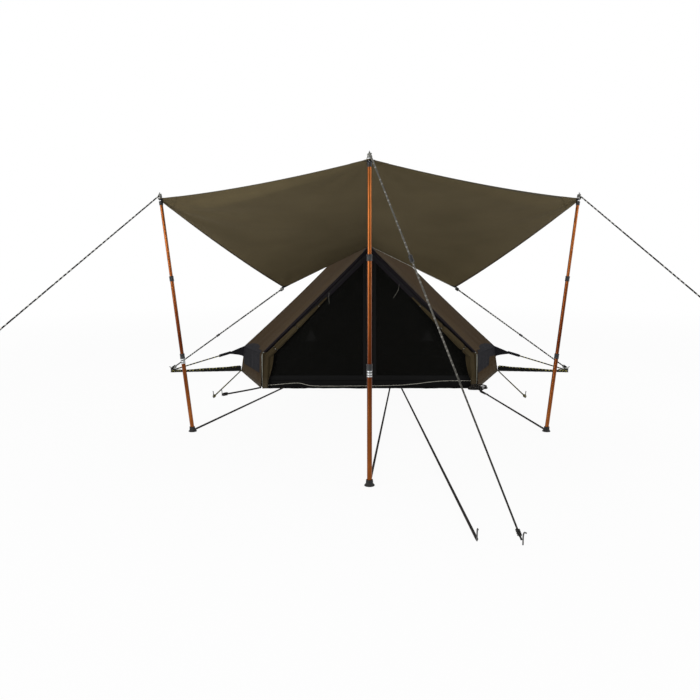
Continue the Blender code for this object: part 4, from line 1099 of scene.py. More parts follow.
def build_ground_lines():
    """The cords that run along the ground from the pole feet, the doorway and the corners."""
    rest = up(GROUND_R + FIT)
    edge_y = FRONT_Y + 0.010 - 2 * FIT
    upright = doorway_point(RAFTER_INSET, SLOPE_LONG, SLEEVE_BACK_Y - SLEEVE_DEPTH / 2)
    upright.z = 0.0
    ends = (
        ("left", mirrored(SIDE_FOOT, -1), Vector((-1.04, edge_y - 0.0013, 0.0))),
        ("center", CENTER_FOOT, Vector((0.25, edge_y - 0.0003, 0.0))),
        ("right", SIDE_FOOT, upright + (SIDE_FOOT - upright).normalized() * 0.0116),
    )
    for word, foot, end in ends:
        start = foot + (end - foot).normalized() * FOOT_REACH
        trims = []
        if word == "right":
            way = (foot - end).normalized()
            trims.append(build_buckle(end + way * 0.375 + up(0.0135), way))
        fixed_cord(f"{word}_foot_rope", straight(start + rest, end + rest, 20), GROUND_R,
                   GROUND_ROPE, "black_cord", lay="loose", replaces=f"{word}_foot_cord",
                   with_pieces=trims)
        if word == "right":
            build_slack(end, way)
    start = Vector((0.385, edge_y - 0.0003, 0.0))
    stop = Vector((FRONT_PEG.x, FRONT_PEG.y + PEG_R + 2 * FIT, 0.0))
    fixed_cord("front_rope", straight(start + rest, stop + rest, 20), GROUND_R, GROUND_ROPE,
               "black_cord", lay="loose", replaces="front_cord")
    build_peg("front_steel_peg", FRONT_PEG, start, "front_peg")
    corners = (
        ("left_corner_rope", (-1.778, -0.006, 0.010), mirrored(SIDE_CORNER_PEG, -1), OLIVE_ROPE,
         SIDE_ROPE_R),
        ("right_corner_rope", (1.778, -0.006, 0.010), SIDE_CORNER_PEG, OLIVE_ROPE, SIDE_ROPE_R),
        ("left_front_corner_rope", (-1.322, -1.196, 0.010), FRONT_CORNER_PEG, GROUND_ROPE,
         0.0095),
    )
    for name, start, peg, look, radius in corners:
        flat = (Vector((start[0], start[1], 0.0)) - peg).normalized()
        end = peg + flat * (PEG_R + radius * 0.5) + up(0.014)
        low = mix(start, end, 0.3) - up(0.002)
        points = smooth_path([start, low, end], 16)
        peg_item = build_peg(f"{name}_peg", peg, start)
        knot = coil(f"{name}_knot", end + flat * 0.035, flat, radius * 1.5, radius * 0.8, 4.0,
                    look, 1.5 * radius)
        ride(knot, "shelter", "black_cord")
        fixed_cord(name, points, radius, look, "black_cord", with_pieces=[peg_item, knot])


def build_slack(end, way):
    """The spare length behind the buckle, doubled back and bunched at the tent's corner."""
    beside = way.cross(up(1.0)).normalized()
    rest = up(GROUND_R + FIT)
    corners = [end + way * 0.36 + beside * 0.013 + rest, end + way * 0.20 + beside * 0.016 + rest]
    middle = Vector((1.300, -1.300, 0.0))
    for i in range(17):
        turn = math.tau * i / 7 + 0.8
        wide = 0.100 - 0.018 * math.sin(i * 1.7)
        deep = 0.060 - 0.020 * math.cos(i * 1.1)
        corners.append(middle + Vector((wide * math.cos(turn), deep * math.sin(turn),
                                        GROUND_R + 0.0028 * i)))
    fixed_cord("slack_rope", smooth_path(corners, 110), 0.0080, GROUND_ROPE, "black_cord",
               lay="coiled", far_end="bare")


def build_door_ties():
    """Thin ties that hang at the doorway's sleeves, and the loop of the zip's end."""
    runs = (
        ("left_door_tie", ((-0.481, TIE_Y, 1.160), (-0.484, -1.2230, 1.110),
                           (-0.479, TIE_Y, 1.030))),
        ("right_door_tie", ((0.352, TIE_Y, 1.262), (0.338, -1.2235, 1.190),
                            (0.283, TIE_Y, 1.098))),
    )
    for name, corners in runs:
        fixed_cord(name, smooth_path(corners, 16), 0.0016, TIE_CORD, "pale_cord", lay="hanging",
                   far_end="bare", stiffness="limp")
    ring = [Vector((-0.060 + 0.014 * math.cos(math.tau * i / 20), TIE_Y,
                    1.385 + 0.050 * math.sin(math.tau * i / 20))) for i in range(21)]
    loop = swept("door_loop", ring, 0.0014, GROUND_ROPE, sides=8)
    ride(loop, "shelter", "black_cord")


# Poles

def pole_at(foot, axis, height):
    return foot + axis * (height / axis.z)


def sheet_tilt(surface_u, axis, side):
    step = 0.001
    here = awning_point(surface_u, 1.0)
    along = awning_point(surface_u, 1.0 - step) - here
    across = awning_point(surface_u + (step if surface_u < 0.5 else -step), 1.0) - here
    return facing(mirrored(along.cross(across).normalized(), side)).angle(axis)


def eased(profile, edge):
    """The outline with each corner cut by a small ease."""
    count = len(profile)
    made = []
    for i, here in enumerate(profile):
        before, after = profile[i - 1], profile[(i + 1) % count]
        for other in (before, after):
            gap = math.hypot(other[0] - here[0], other[1] - here[1])
            share = min(edge / gap, 0.4) if gap else 0.0
            made.append((here[0] + (other[0] - here[0]) * share,
                         here[1] + (other[1] - here[1]) * share))
    return made


def grip(radius, low, high):
    """Presses shallow flutes into a collar."""
    def shape(vert):
        flat = Vector((vert.co.x, vert.co.y, 0.0))
        if flat.length > radius - 0.0016 and low < vert.co.z < high:
            turn = math.atan2(vert.co.y, vert.co.x)
            dent = 0.0005 * (1 + math.cos(turn * 20))
            vert.co -= flat.normalized() * dent
    return shape


def build_pole(word, foot, head, collars, tilt):
    axis = (head - foot).normalized()
    lower_r, middle_r, top_r = TUBE_RADII
    under_sheet = 0.0028 / math.cos(tilt) + CAP_R * math.tan(tilt) + FIT
    cap_top = head - axis * under_sheet
    bottom = foot + axis * (SOLE_THICK / axis.z + FIT)
    lower_end, middle_end = (
        pole_at(foot, axis, low) + axis * (COLLAR_LONG - COLLAR_LIP - FIT) for low in collars)
    runs = (
        ("lower_tube", bottom, lower_end, lower_r, "shelter"),
        ("middle_tube", lower_end - axis * INSERTED, middle_end, middle_r, f"{word}_middle"),
        ("top_tube", middle_end - axis * INSERTED, cap_top - axis * 0.0063, top_r, f"{word}_top"),
    )
    for name, start, end, radius, body in runs:
        length = (end - start).length
        outline = eased([(radius, length), (radius, 0.0), (radius - TUBE_WALL, 0.0),
                         (radius - TUBE_WALL, length)], 0.0004)
        item = turned(f"{word}_{name}_shell", outline, COPPER, start, axis, sides=48)
        ride(item, body, "copper_tube", f"{word}_{name}")
    if word != "right":
        low = pole_at(foot, axis, collars[0]) - axis * (FIT + BAND_LONG)
        band = eased([(0.0188, BAND_LONG), (0.0188, 0.0), (0.0181, 0.0), (0.0181, BAND_LONG)],
                     0.0003)
        ride(turned(f"{word}_band", band, BARE_METAL, low, axis, sides=48), "shelter",
             "grey_aluminium")
        for number, (near, far) in enumerate(((0.009, 0.014), (0.027, 0.035)), 1):
            stripe = eased([(0.0192, far), (0.0192, near), (0.0186, near), (0.0186, far)], 0.0002)
            item = turned(f"{word}_band_stripe_{number}", stripe, BLACK_PLASTIC, low, axis,
                          sides=48)
            ride(item, "shelter", "black_plastic")
    for name, low, outer, inner, body in (
            ("lower_collar", collars[0], lower_r, middle_r, f"{word}_lower_lock"),
            ("upper_collar", collars[1], middle_r, top_r, f"{word}_upper_lock")):
        rim = outer + COLLAR_WALL
        grip_r = rim - COLLAR_STEP
        outline = eased([
            (rim - 0.0010, COLLAR_LONG), (rim, COLLAR_LONG - 0.004), (rim, COLLAR_LONG - 0.009),
            (grip_r, COLLAR_LONG - 0.010), (grip_r, 0.030), (grip_r, 0.020),
            (grip_r, 0.011), (rim, 0.010), (rim, 0.003), (rim - 0.0010, 0.0),
            (outer + BORE_GAP, 0.0), (outer + BORE_GAP, COLLAR_LONG - COLLAR_LIP),
            (inner + BORE_GAP, COLLAR_LONG - COLLAR_LIP), (inner + BORE_GAP, COLLAR_LONG),
        ], 0.0005)
        flutes = grip(rim, 0.009, COLLAR_LONG - 0.009)
        item = turned(f"{word}_{name}_grip", outline, BLACK_PLASTIC, pole_at(foot, axis, low),
                      axis, sides=80, shape=flutes)
        ride(item, body, "black_plastic", f"{word}_{name}")
    rise = SPIGOT_RISE + under_sheet
    spigot = [(0.0, rise), (SPIGOT_R * 0.55, rise - 0.0006), (SPIGOT_R * 0.95, rise - 0.0025),
              (SPIGOT_R, rise - 0.004), (SPIGOT_R, 0.0004), (SPIGOT_R * 2.4, 0.0004),
              (SPIGOT_R * 2.4, -0.0002), (0.0, -0.0002)]
    ride(turned(f"{word}_spigot", spigot, STEEL, cap_top, axis, sides=24, closed=False),
         f"{word}_top", "steel")
    cap = [(0.0, 0.0), (CAP_R - 0.004, 0.0), (CAP_R - 0.0012, -0.0012), (CAP_R, -0.004),
           (CAP_R, -0.020), (CAP_R - 0.0007, -0.021), (CAP_R - 0.0007, -0.024), (CAP_R, -0.025),
           (CAP_R, -CAP_LONG + 0.002), (CAP_R - 0.001, -CAP_LONG), (top_r + 0.0004, -CAP_LONG),
           (top_r + 0.0004, -0.006), (0.0, -0.006)]
    eyelet = eased([(0.0150, -0.0012), (0.0150, 0.0014), (0.0100, 0.0022), (0.0068, 0.0014),
                    (0.0068, -0.0012)], 0.0004)
    ride(turned(f"{word}_eyelet", eyelet, STEEL, head + axis * 0.0026, axis, sides=32),
         f"{word}_top", "steel")
    item = turned(f"{word}_cap", cap, BLACK_PLASTIC, cap_top, axis, sides=48, closed=False)
    ride(item, f"{word}_top", "black_plastic", f"{word}_head")
    build_foot(word, foot, axis)


def build_foot(word, foot, axis):
    """A flared rubber boot with a ribbed skirt."""
    boot = [(0.0186, 0.0440), (0.0235, 0.0450), (0.0250, 0.0435), (0.0252, 0.0330),
            (0.0264, 0.0320), (0.0264, 0.0290), (0.0254, 0.0280), (0.0270, 0.0200),
            (0.0310, 0.0110), (0.0360, 0.0060), (0.0380, 0.0040), (0.0380, 0.0006),
            (0.0374, 0.0), (0.0, 0.0)]
    shear = Matrix.Identity(4)
    shear[0][2] = axis.x / axis.z
    item = turned(f"{word}_boot", boot, RUBBER, sides=48, closed=False)
    work = bmesh.new()
    work.from_mesh(item.data)
    bmesh.ops.transform(work, matrix=Matrix.Translation(foot) @ shear, verts=work.verts)
    fresh, floor = extruded(work, rims(work))
    bmesh.ops.translate(work, verts=fresh, vec=-axis * 0.034)
    bmesh.ops.edgeloop_fill(work, edges=floor)
    bmesh.ops.recalc_face_normals(work, faces=work.faces)
    work.to_mesh(item.data)
    work.free()
    ride(item, "shelter", "rubber", f"{word}_foot")


def build_poles():
    for word, foot, head, side, collars, _ in POLES:
        foot, head = mirrored(foot, side), mirrored(head, side)
        tilt = sheet_tilt(0.0 if word == "center" else 1.0, (head - foot).normalized(), side)
        build_pole(word, foot, head, collars, tilt)


def runner(name, start, end, share, cord_radius):
    """The slider that tightens a line: a waisted plastic barrel."""
    axis = (end - start).normalized()
    low = mix(start, end, share) - axis * 0.025
    outline = [(0.0115, 0.050), (0.0138, 0.047), (0.0145, 0.042), (0.0134, 0.037),
               (0.0127, 0.025), (0.0134, 0.013), (0.0145, 0.008), (0.0138, 0.003),
               (0.0115, 0.0), (cord_radius + BORE_GAP, 0.0), (cord_radius + BORE_GAP, 0.050)]
    return turned(name, outline, BLACK_PLASTIC, low, axis, sides=28)


def build_runners():
    start = leave_spigot(AWNING_FRONT, up(1.0), CENTER_PEG)
    end = meet_peg(start, CENTER_PEG, PEG_CATCH, GUY_R)
    item = runner("center_line_runner", start, end, 0.30, GUY_R)
    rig.replaces(item, "center_runner")
    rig.slot(item, "black_plastic")
    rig.blend(item, "shelter", "center_top", start=end, end=start)
    for side, word in BOTH:
        _, start, end = rear_line(side)
        ride(runner(f"{word}_line_runner", start, end, 0.55, THIN_R), f"{word}_runner",
             "black_plastic", f"{word}_rear_runner")


# Awning

def awning_point(u, v):
    """u runs from the ridge to the right side, v from the tent to the front edge."""
    ridge = mix(REAR_MIDDLE, AWNING_FRONT, v)
    side = mix(AWNING_REAR, AWNING_SIDE, v)
    at = mix(ridge, side, u)
    at.z -= AWNING_SAG * 4 * u * (1 - u) * v
    at.z -= AWNING_SAG * 4 * v * (1 - v)
    return at


def sheet_long(u):
    return RIDGE_LONG + (SIDE_LONG - RIDGE_LONG) * u


def sheet_wide(v):
    return REAR_WIDE + (FRONT_WIDE - REAR_WIDE) * v


def pull_folds(across, back, height, folds, reach, fade, turn=0.0):
    """The height of the folds that fan out from a pulled corner, at a place beside it."""
    far = math.hypot(across, back)
    if far <= 0.02:
        return 0.0
    fan = math.atan2(back, across)
    pull = min(far / reach, 1.0) * math.exp(-far / fade)
    return height * pull * math.cos(fan * folds + turn) * math.sin(max(fan, 0.0) * 2) ** 0.5


def awning_cloth(across, v):
    """The pulled tarpaulin: across runs from -1 at the left edge to 1 at the right."""
    u = abs(across)
    at = awning_point(u * AWNING_WIDER, v * AWNING_LONGER)
    long, wide = sheet_long(u), sheet_wide(v)
    back = (1 - v) * long
    free = math.sin(math.pi * min(max(u, 0.0), 1.0)) ** 0.7 if 0 < u < 1 else 0.0
    wider = 0.4 + 1.2 * u
    deep = LIP_DIP * wider * free * (1.0 if across < 0 else 0.6)
    past = max(back - LIP_REACH * wider, 0.0)
    at.z -= deep * ease(back / (LIP_REACH * wider)) * math.exp(-past / 0.5)
    from_side = (1 - u) * wide
    from_ridge, from_rear = u * wide, v * long
    at.z += pull_folds(from_side, back, 0.011 * (1.0 if across < 0 else 0.6), 11.0, 0.35, 0.9, 0.6)
    at.z += pull_folds(from_side, from_rear, 0.006, 9.0, 0.25, 0.5)
    at.z += pull_folds(from_ridge, back, 0.006, 10.0, 0.3, 0.7)
    inside = ease(v / 0.15) * ease(back / 0.15) * ease(from_side / 0.10)
    wave = noise.noise(Vector((across * 1.9, v * 2.6, 4.2)))
    at.z += 0.008 * inside * wave
    return mirrored(at, -1.0 if across < 0 else 1.0)


def awning_normal(across, v):
    step = 0.004
    here = awning_cloth(across, v)
    a = awning_cloth(min(across + step, 1.0), v) - awning_cloth(max(across - step, -1.0), v)
    b = awning_cloth(across, min(v + step, 1.0)) - awning_cloth(across, max(v - step, 0.0))
    return here, facing(a.cross(b).normalized())


def awning_layer(name, chart, columns, rows, look, lift, thickness, metres):
    """A piece sewn onto the awning: chart(s, t) gives its place on the sheet."""
    def surface(s, t):
        across, v = chart(s, t)
        here, normal = awning_normal(across, v)
        return here + normal * lift
    work = grid(surface, columns, rows, 1, metres)
    weld(work)
    item = thicken(piece(name, work, look), thickness)
    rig.slot(item, "black_cloth" if look is BLACK_CANVAS else "canvas")
    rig.blend(item, "shelter", "center_top", start=STILL_AT, end=MOVED_AT)
    return item


def build_awning():
    work = grid(lambda s, t: awning_cloth(2 * s - 1, t), 128, 72, 1, (4.6, 3.2))
    item = thicken(piece("tarpaulin", work, AWNING_CANVAS), CANVAS_THICK)
    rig.replaces(item, "awning")
    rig.slot(item, "canvas")
    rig.blend(item, "shelter", "center_top", start=STILL_AT, end=MOVED_AT)
    trims = []
    stack = CANVAS_THICK / 2 + HEM_LIFT
    for low, word in FACES:
        lift = low * (stack + 0.0001)
        trims.append(awning_layer(
            f"front_hem_{word}",
            lambda s, t: (2 * t - 1, 1 - HEM * s / sheet_long(abs(2 * t - 1))),
            3, 128, EDGE_TAPE, lift, TRIM_THICK, (HEM, 4.8)))
        for side, side_word in BOTH:
            trims.append(awning_layer(
                f"{side_word}_side_hem_{word}",
                lambda s, t, side=side: (side * (1 - HEM * s / sheet_wide(t)), t),
                3, 60, HEM_TAPE, lift, TRIM_THICK, (HEM, 2.35)))
        # On the right the rear hem is a narrower pale strip: a painted highlight along the awning's rear edge.
        for side, side_word in BOTH:
            trims.append(awning_layer(
                f"{side_word}_rear_hem_{word}",
                lambda s, t, side=side: (side * t, (HEM if side < 0 else 0.012) * s / 3.0),
                3, 40, PAINTED_LIGHT_TAPE if side > 0 else HEM_TAPE, lift, TRIM_THICK, (HEM, REAR_WIDE)))
        trims.append(awning_layer(
            f"ridge_seam_{word}", lambda s, t: ((s - 0.5) * 0.024 / sheet_wide(t), t),
            4, 90, SEAM_TAPE, lift * 1.02, TRIM_THICK, (0.024, RIDGE_LONG)))
    second, third = stack + LAYER_STEP, stack + 2 * LAYER_STEP
    corners = (("head", 0.20, AWNING_CANVAS, second, True),
               ("head_tab", 0.055, BLACK_CANVAS, third, True),
               ("tail", 0.055, BLACK_CANVAS, second, False))
    for side, word in BOTH:
        for part_word, reach, look, lift, in_front in corners:
            wide = FRONT_WIDE if in_front else REAR_WIDE

            def corner_chart(s, t, side=side, reach=reach, in_front=in_front, wide=wide):
                back = s * t * reach / SIDE_LONG
                return (side * (1 - s * (1 - t) * reach * 1.4 / wide),
                        1 - back if in_front else back)
            for low, low_word in FACES:
                trims.append(awning_layer(f"{word}_{part_word}_{low_word}", corner_chart, 12, 12,
                                          look, low * lift, PATCH_THICK, (reach, reach)))
    for low, low_word in FACES:
        for part_word, reach, look, lift in (("head", 0.17, AWNING_CANVAS, second),
                                             ("head_tab", 0.050, BLACK_CANVAS, third)):
            trims.append(awning_layer(
                f"center_{part_word}_{low_word}",
                lambda s, t, reach=reach: ((2 * t - 1) * s * reach / FRONT_WIDE,
                                           1 - s * (1 - abs(2 * t - 1)) * reach / RIDGE_LONG),
                12, 16, look, low * lift, PATCH_THICK, (2 * reach, reach)))
    # A pale cord along the right half of the awning's rear edge: a painted highlight.
    edge = [awning_cloth(0.015 + 0.97 * i / 40, 0.0) for i in range(41)]
    trims.append(ride(swept("right_rear_painted_highlight", edge, 0.004, PIPING_AND_HIGHLIGHT, sides=8), "shelter",
                      "canvas"))
    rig.sheet(item, flat=(4.60, 3.60), held="stretched", rests_on=["center_head", "left_head",
             "right_head", "door_sleeves"], area=cloth_area(item), with_pieces=trims)


# Tent roof and walls

def hang(u):
    return up(-SIDE_SAG * 4 * u * (1 - u) * (1.2 - 0.4 * u))


def roof_point(u, w):
    """u runs from the top to the eave, w from the doorway over the side corner (1) and the
    rear corner (2) to the middle of the back (3)."""
    if w <= 1:
        if w <= RIDGE_SHARE:
            top = mix(FRONT_APEX, RING_FRONT, w / RIDGE_SHARE)
        else:
            top = mix(RING_FRONT, RING_SIDE, (w - RIDGE_SHARE) / (1 - RIDGE_SHARE))
        low = mix(FRONT_EAVE, SIDE_EAVE, w)
        return mix(top, low, u) + hang(u) * w ** 1.5
    if w <= 2:
        top = mix(RING_SIDE, RING_CORNER, w - 1)
        low = mix(SIDE_EAVE, REAR_EAVE, w - 1)
    else:
        top = mix(RING_CORNER, RING_REAR, w - 2)
        low = mix(REAR_EAVE, REAR_EAVE_MIDDLE, w - 2)
    return mix(top, low, u) + hang(u)


def wall_point(u, w):
    eaves = (FRONT_EAVE, SIDE_EAVE, REAR_EAVE, REAR_EAVE_MIDDLE)
    feet = (FRONT_FOOT, SIDE_WALL_FOOT, REAR_WALL_FOOT, REAR_WALL_MIDDLE)
    first = min(int(w), 2)
    top = mix(eaves[first], eaves[first + 1], w - first) - up(0.0016)
    foot = mix(feet[first], feet[first + 1], w - first) + up(GROUND_LIFT)
    return mix(top, foot, u)


def panel_share(w):
    """How far a place is from the nearest seam, 0 at a seam and 1 in the panel's middle."""
    return math.sin(math.pi * (w - math.floor(w))) if w < 3 else 0.0


def roof_cloth(u, w):
    """The roof as sewn: each panel pulled a little hollow, with folds at its corners."""
    at = roof_point(u, w)
    free = panel_share(w) * math.sin(math.pi * u)
    at.z -= 0.012 * free
    pull = math.exp(-((1 - u) / 0.22) ** 2) * panel_share(w)
    at.z += 0.0035 * pull * math.cos(w * 26.0) * (1 - math.exp(-((1 - u) / 0.05) ** 2))
    wave = noise.noise(Vector((w * 3.1, u * 3.3, 1.7)))
    at.z += 0.006 * free * wave
    at.z -= 0.010 * math.exp(-((w - 0.16) / 0.07) ** 2) * math.sin(math.pi * u)
    return at


def wall_cloth(u, w):
    at = wall_point(u, w)
    free = math.sin(math.pi * u) * panel_share(w)
    out = Vector((at.x, at.y - 0.1, 0.0)).normalized()
    ripple = 0.5 * math.sin(w * 31.0 + 2.0 * u) + noise.noise(Vector((w * 5.0, u * 2.0, 9.1)))
    return at + out * (free * (0.003 * ripple - 0.004))


def surface_normal(surface, u, w, low_w=0.0, high_w=3.0):
    step = 0.006
    a = surface(min(u + step, 1.0), w) - surface(max(u - step, 0.0), w)
    b = surface(u, min(w + step, high_w)) - surface(u, max(w - step, low_w))
    return b.cross(a).normalized()


def panel_chart(work, corners):
    """Charts each face in metres in the plane of its own panel."""
    chart = work.loops.layers.uv.verify()
    for face in work.faces:
        middle = face.calc_center_median()
        side = -1 if middle.x < 0 else 1
        best = None
        for origin, along, normal in corners:
            far = abs((mirrored(middle, side) - origin).dot(normal))
            if best is None or far < best[0]:
                best = (far, origin, along, normal)
        _, origin, along, normal = best
        upward = normal.cross(along)
        for loop in face.loops:
            there = mirrored(loop.vert.co, side) - origin
            loop[chart].uv = (there.dot(along) * side, there.dot(upward))


def panel_planes(points):
    planes = []
    for first, second, third in points:
        along = (second - first).normalized()
        normal = along.cross(third - first).normalized()
        planes.append((first, along, normal))
    return planes


def mirrored_whole(work):
    """The other half of a sheet, welded along the middle."""
    for vert in work.verts:
        if vert.co.x < 0.0006:
            vert.co.x = 0.0
    near = 0.00005
    bmesh.ops.mirror(work, geom=work.verts[:] + work.edges[:] + work.faces[:],
                     matrix=Matrix.Identity(4), merge_dist=near, axis="X")
    weld(work, near)
    bmesh.ops.dissolve_degenerate(work, edges=work.edges, dist=0.00001)
    bmesh.ops.recalc_face_normals(work, faces=work.faces)


def band(name, path, out_at, width, look, lift, body="shelter", slot="canvas", rows=40):
    """A tape along path(t): out_at(t) gives its way across and the surface's normal."""
    length = path_length([path(i / 40) for i in range(41)])

    def surface(s, t):
        across, normal = out_at(t)
        return path(t) + across * (s - 0.5) * width + normal * lift
    work = grid(surface, 3, rows, 1, (width, length))
    centre_chart(work, width)
    return sewn(name, work, look, TRIM_THICK, slot, body)


def roof_seam(name, w, side):
    def path(t):
        return mirrored(roof_cloth(0.02 + 0.98 * t, w), side)

    def out_at(t):
        normal = facing(mirrored(surface_normal(roof_cloth, 0.02 + 0.98 * t, w), side))
        step = 0.01
        way = (path(min(t + step, 1.0)) - path(max(t - step, 0.0))).normalized()
        return way.cross(normal).normalized(), normal
    return band(name, path, out_at, 0.016, SEAM_TAPE, 0.0013)


def build_tent():
    roof = grid(lambda s, t: roof_cloth(1 - t, 3 * s), 108, 40)
    mirrored_whole(roof)
    panel_chart(roof, panel_planes(((FRONT_EAVE, SIDE_EAVE, FRONT_APEX),
                                    (SIDE_EAVE, REAR_EAVE, RING_SIDE),
                                    (REAR_EAVE, REAR_EAVE_MIDDLE, RING_REAR))))
    item = thicken(piece("tent_roof", roof, TENT_CANVAS, 55.0), CANVAS_THICK, 55.0)
    ride(item, "shelter", "canvas", "left_roof", "right_roof")
    trims = []
    for side, word in BOTH:
        trims.append(roof_seam(f"{word}_side_seam", 1.0, side))
        trims.append(roof_seam(f"{word}_rear_seam", 2.0, side))
        trims.append(build_roof_flap(word, side))
    trims += build_corner_patches()
    trims.append(build_peak_patch())
    trims.append(build_ridge_tape())
    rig.sheet(item, flat=(8.60, 2.10), held="stretched", rests_on=["tent_pole", "door_sleeves"],
             area=cloth_area(item), with_pieces=trims)

    wall = grid(lambda s, t: wall_cloth(1 - t, 3 * s), 108, 10)
    mirrored_whole(wall)
    panel_chart(wall, panel_planes(((FRONT_EAVE, SIDE_EAVE, FRONT_FOOT),
                                    (SIDE_EAVE, REAR_EAVE, SIDE_WALL_FOOT),
                                    (REAR_EAVE, REAR_EAVE_MIDDLE, REAR_WALL_FOOT))))
    item = thicken(piece("tent_wall", wall, TENT_CANVAS, 55.0), CANVAS_THICK, 55.0)
    ride(item, "shelter", "canvas", "left_wall", "right_wall")
    trims = build_wall_trims()
    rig.sheet(item, flat=(7.80, 0.42), held="stretched", rests_on=["tent_roof", "groundsheet"],
             area=cloth_area(item), with_pieces=trims)


def wall_layer(name, side, corners, look, lift, columns, rows, slot, metres):
    """A layer on the wall between four (u, w) corners."""
    (u0, w0), (u1, w1), (u2, w2), (u3, w3) = corners

    def surface(s, t):
        u = (u0 * (1 - s) + u1 * s) * (1 - t) + (u3 * (1 - s) + u2 * s) * t
        w = (w0 * (1 - s) + w1 * s) * (1 - t) + (w3 * (1 - s) + w2 * s) * t
        normal = surface_normal(wall_cloth, u, w)
        if normal.dot(Vector((1.0, 0.2 * (1 if w > 1.5 else -1), 0.0))) < 0 and w <= 2:
            normal = -normal
        if w > 2 and normal.y < 0:
            normal = -normal
        return wall_cloth(u, w) + normal * lift
    return sewn(name, grid(surface, columns, rows, side, metres), look, PATCH_THICK, slot)


def patch_low(side, w):
    """How far down the wall its black corner patch reaches."""
    if side > 0:
        low = 0.57 - 0.28 * ease((w - 0.58) / 0.07)
        return low + 0.06 * max(w - 0.65, 0.0) / 0.35
    return 0.59 + 0.07 * w - 0.26 * ease((w - 0.90) / 0.07)


def build_wall_trims():
    trims = []
    for side, word, first in ((1, "right", 0.02), (-1, "left", 0.10)):
        def surface(s, t, side=side, first=first):
            w = first + (0.995 - first) * s
            u = 0.006 + (patch_low(side, w) - 0.006) * t
            return wall_cloth(u, w) + facing(surface_normal(wall_cloth, u, w), 0) * 0.0015
        trims.append(sewn(f"{word}_wall_patch", grid(surface, 60, 14, side, (1.2, 0.2)),
                          BLACK_CANVAS, PATCH_THICK, "black_cloth"))
    for side, word in BOTH:
        for first, last in ((0.0, 1.0), (1.0, 2.0), (2.0, 3.0)):
            hem = ((0.90, first), (0.90, last), (1.0, last), (1.0, first))
            trims.append(wall_layer(f"{word}_wall_hem_{int(first)}", side, hem, HEM_TAPE, 0.0013,
                                    36, 2, "canvas", (1.4, 0.035)))
    return trims + build_vents()


def build_vents():
    """The rear vents: a black net triangle low in the roof under a canvas hood, and a pale triangle on its inside that
    is painted light, for the light that comes through the vent.
    """
    made = []
    for side, word in BOTH:
        def triangle(s, t, out):
            u = 0.865 + 0.085 * t
            half = 0.075 * t
            w = 2.16 + (half * (2 * s - 1)) / 0.80
            return roof_cloth(u, w) + facing(surface_normal(roof_cloth, u, w, 2.0, 3.0)) * out
        # inside, a pale triangle that is painted light for the vent's light; outside, the black net
        for name, out, look, slot in (("vent_painted_light", -0.0016, PAINTED_LIGHT_TAPE, "canvas"),
                                      ("vent_net", 0.0016, BLACK_CANVAS, "black_cloth")):
            work = grid(lambda s, t: triangle(s, t, out), 8, 12, side, (0.15, 0.16))
            weld(work)
            made.append(sewn(f"{word}_{name}", work, look, slot=slot))

        def hood(s, t):
            at = triangle(s, 0.10 + 1.05 * t, 0.0026)
            return at + Vector((0.0, 0.018, 0.010)) * (t ** 1.5) * math.sin(math.pi * s)
        made.append(sewn(f"{word}_vent_hood", grid(hood, 12, 12, side, (0.16, 0.17)), TENT_CANVAS,
                         CANVAS_THICK))
    return made


def build_roof_flap(word, side):
    """The flap along the roof's front edge, which sheds water past the doorway; its lighter colour is a painted
    highlight along that edge.
    """
    def surface(s, t):
        u, w = 0.03 + 0.95 * t, 0.004 + 0.27 * s
        return roof_cloth(u, w) + facing(surface_normal(roof_cloth, u, w)) * (0.0014 + 0.003 * s)
    return sewn(f"{word}_roof_flap", grid(surface, 10, 60, side, (0.2, 1.9)), FLAP_HIGHLIGHT_CANVAS)


def build_corner_patches():
    """The black reinforcement over each side corner, and the tab that its guyline pulls on."""
    made = []
    for side, word in BOTH:
        def over_roof(s, t):
            w = 0.06 + 1.19 * t
            front, back = min(w, 1.0), max(w - 1.0, 0.0)
            high = math.sin(math.pi * front) + PATCH_BACK * (front - PATCH_TAPER * back)
            down = PATCH_OVERHANG - (PATCH_OVERHANG - 1 + high) * s
            u = 1 - PATCH_SHARE + PATCH_SHARE * min(down, 1.0)
            at = roof_cloth(u, w) + up(PATCH_LIFT)
            if down > 1:
                at += (roof_cloth(1, w) - roof_cloth(1 - PATCH_SHARE, w)) * (down - 1)
            return at
        made.append(sewn(f"{word}_corner_cloth", grid(over_roof, 14, 48, side, (0.30, 1.5)),
                         BLACK_CANVAS, 0.0014, "black_cloth",
                         replaces=[f"{word}_corner_patch"]))

        def tab(s, t):
            lean = (SIDE_WALL_FOOT.x - SIDE_EAVE.x) / SIDE_EAVE.z
            top = mix((SIDE_EAVE.x - 0.002, 0.0, SIDE_EAVE.z + 0.004),
                      (TAB_TIP_X, 0.0, TAB_TIP_Z + 0.006), s)
            root_x = SIDE_EAVE.x + lean * (SIDE_EAVE.z - TAB_ROOT_Z) - 0.004
            low = Vector((root_x + (TAB_TIP_X - root_x) * s, 0.0,
                          TAB_ROOT_Z + (TAB_TIP_Z - 0.006 - TAB_ROOT_Z) * s ** 0.42))
            at = mix(top, low, t)
            at.y = 0.004 * math.sin(math.pi * t) * math.sin(s * 5.0)
            return at
        made.append(sewn(f"{word}_corner_tab", grid(tab, 16, 8, side, (0.23, 0.15)), BLACK_CANVAS,
                         0.003, "black_cloth"))
    return made


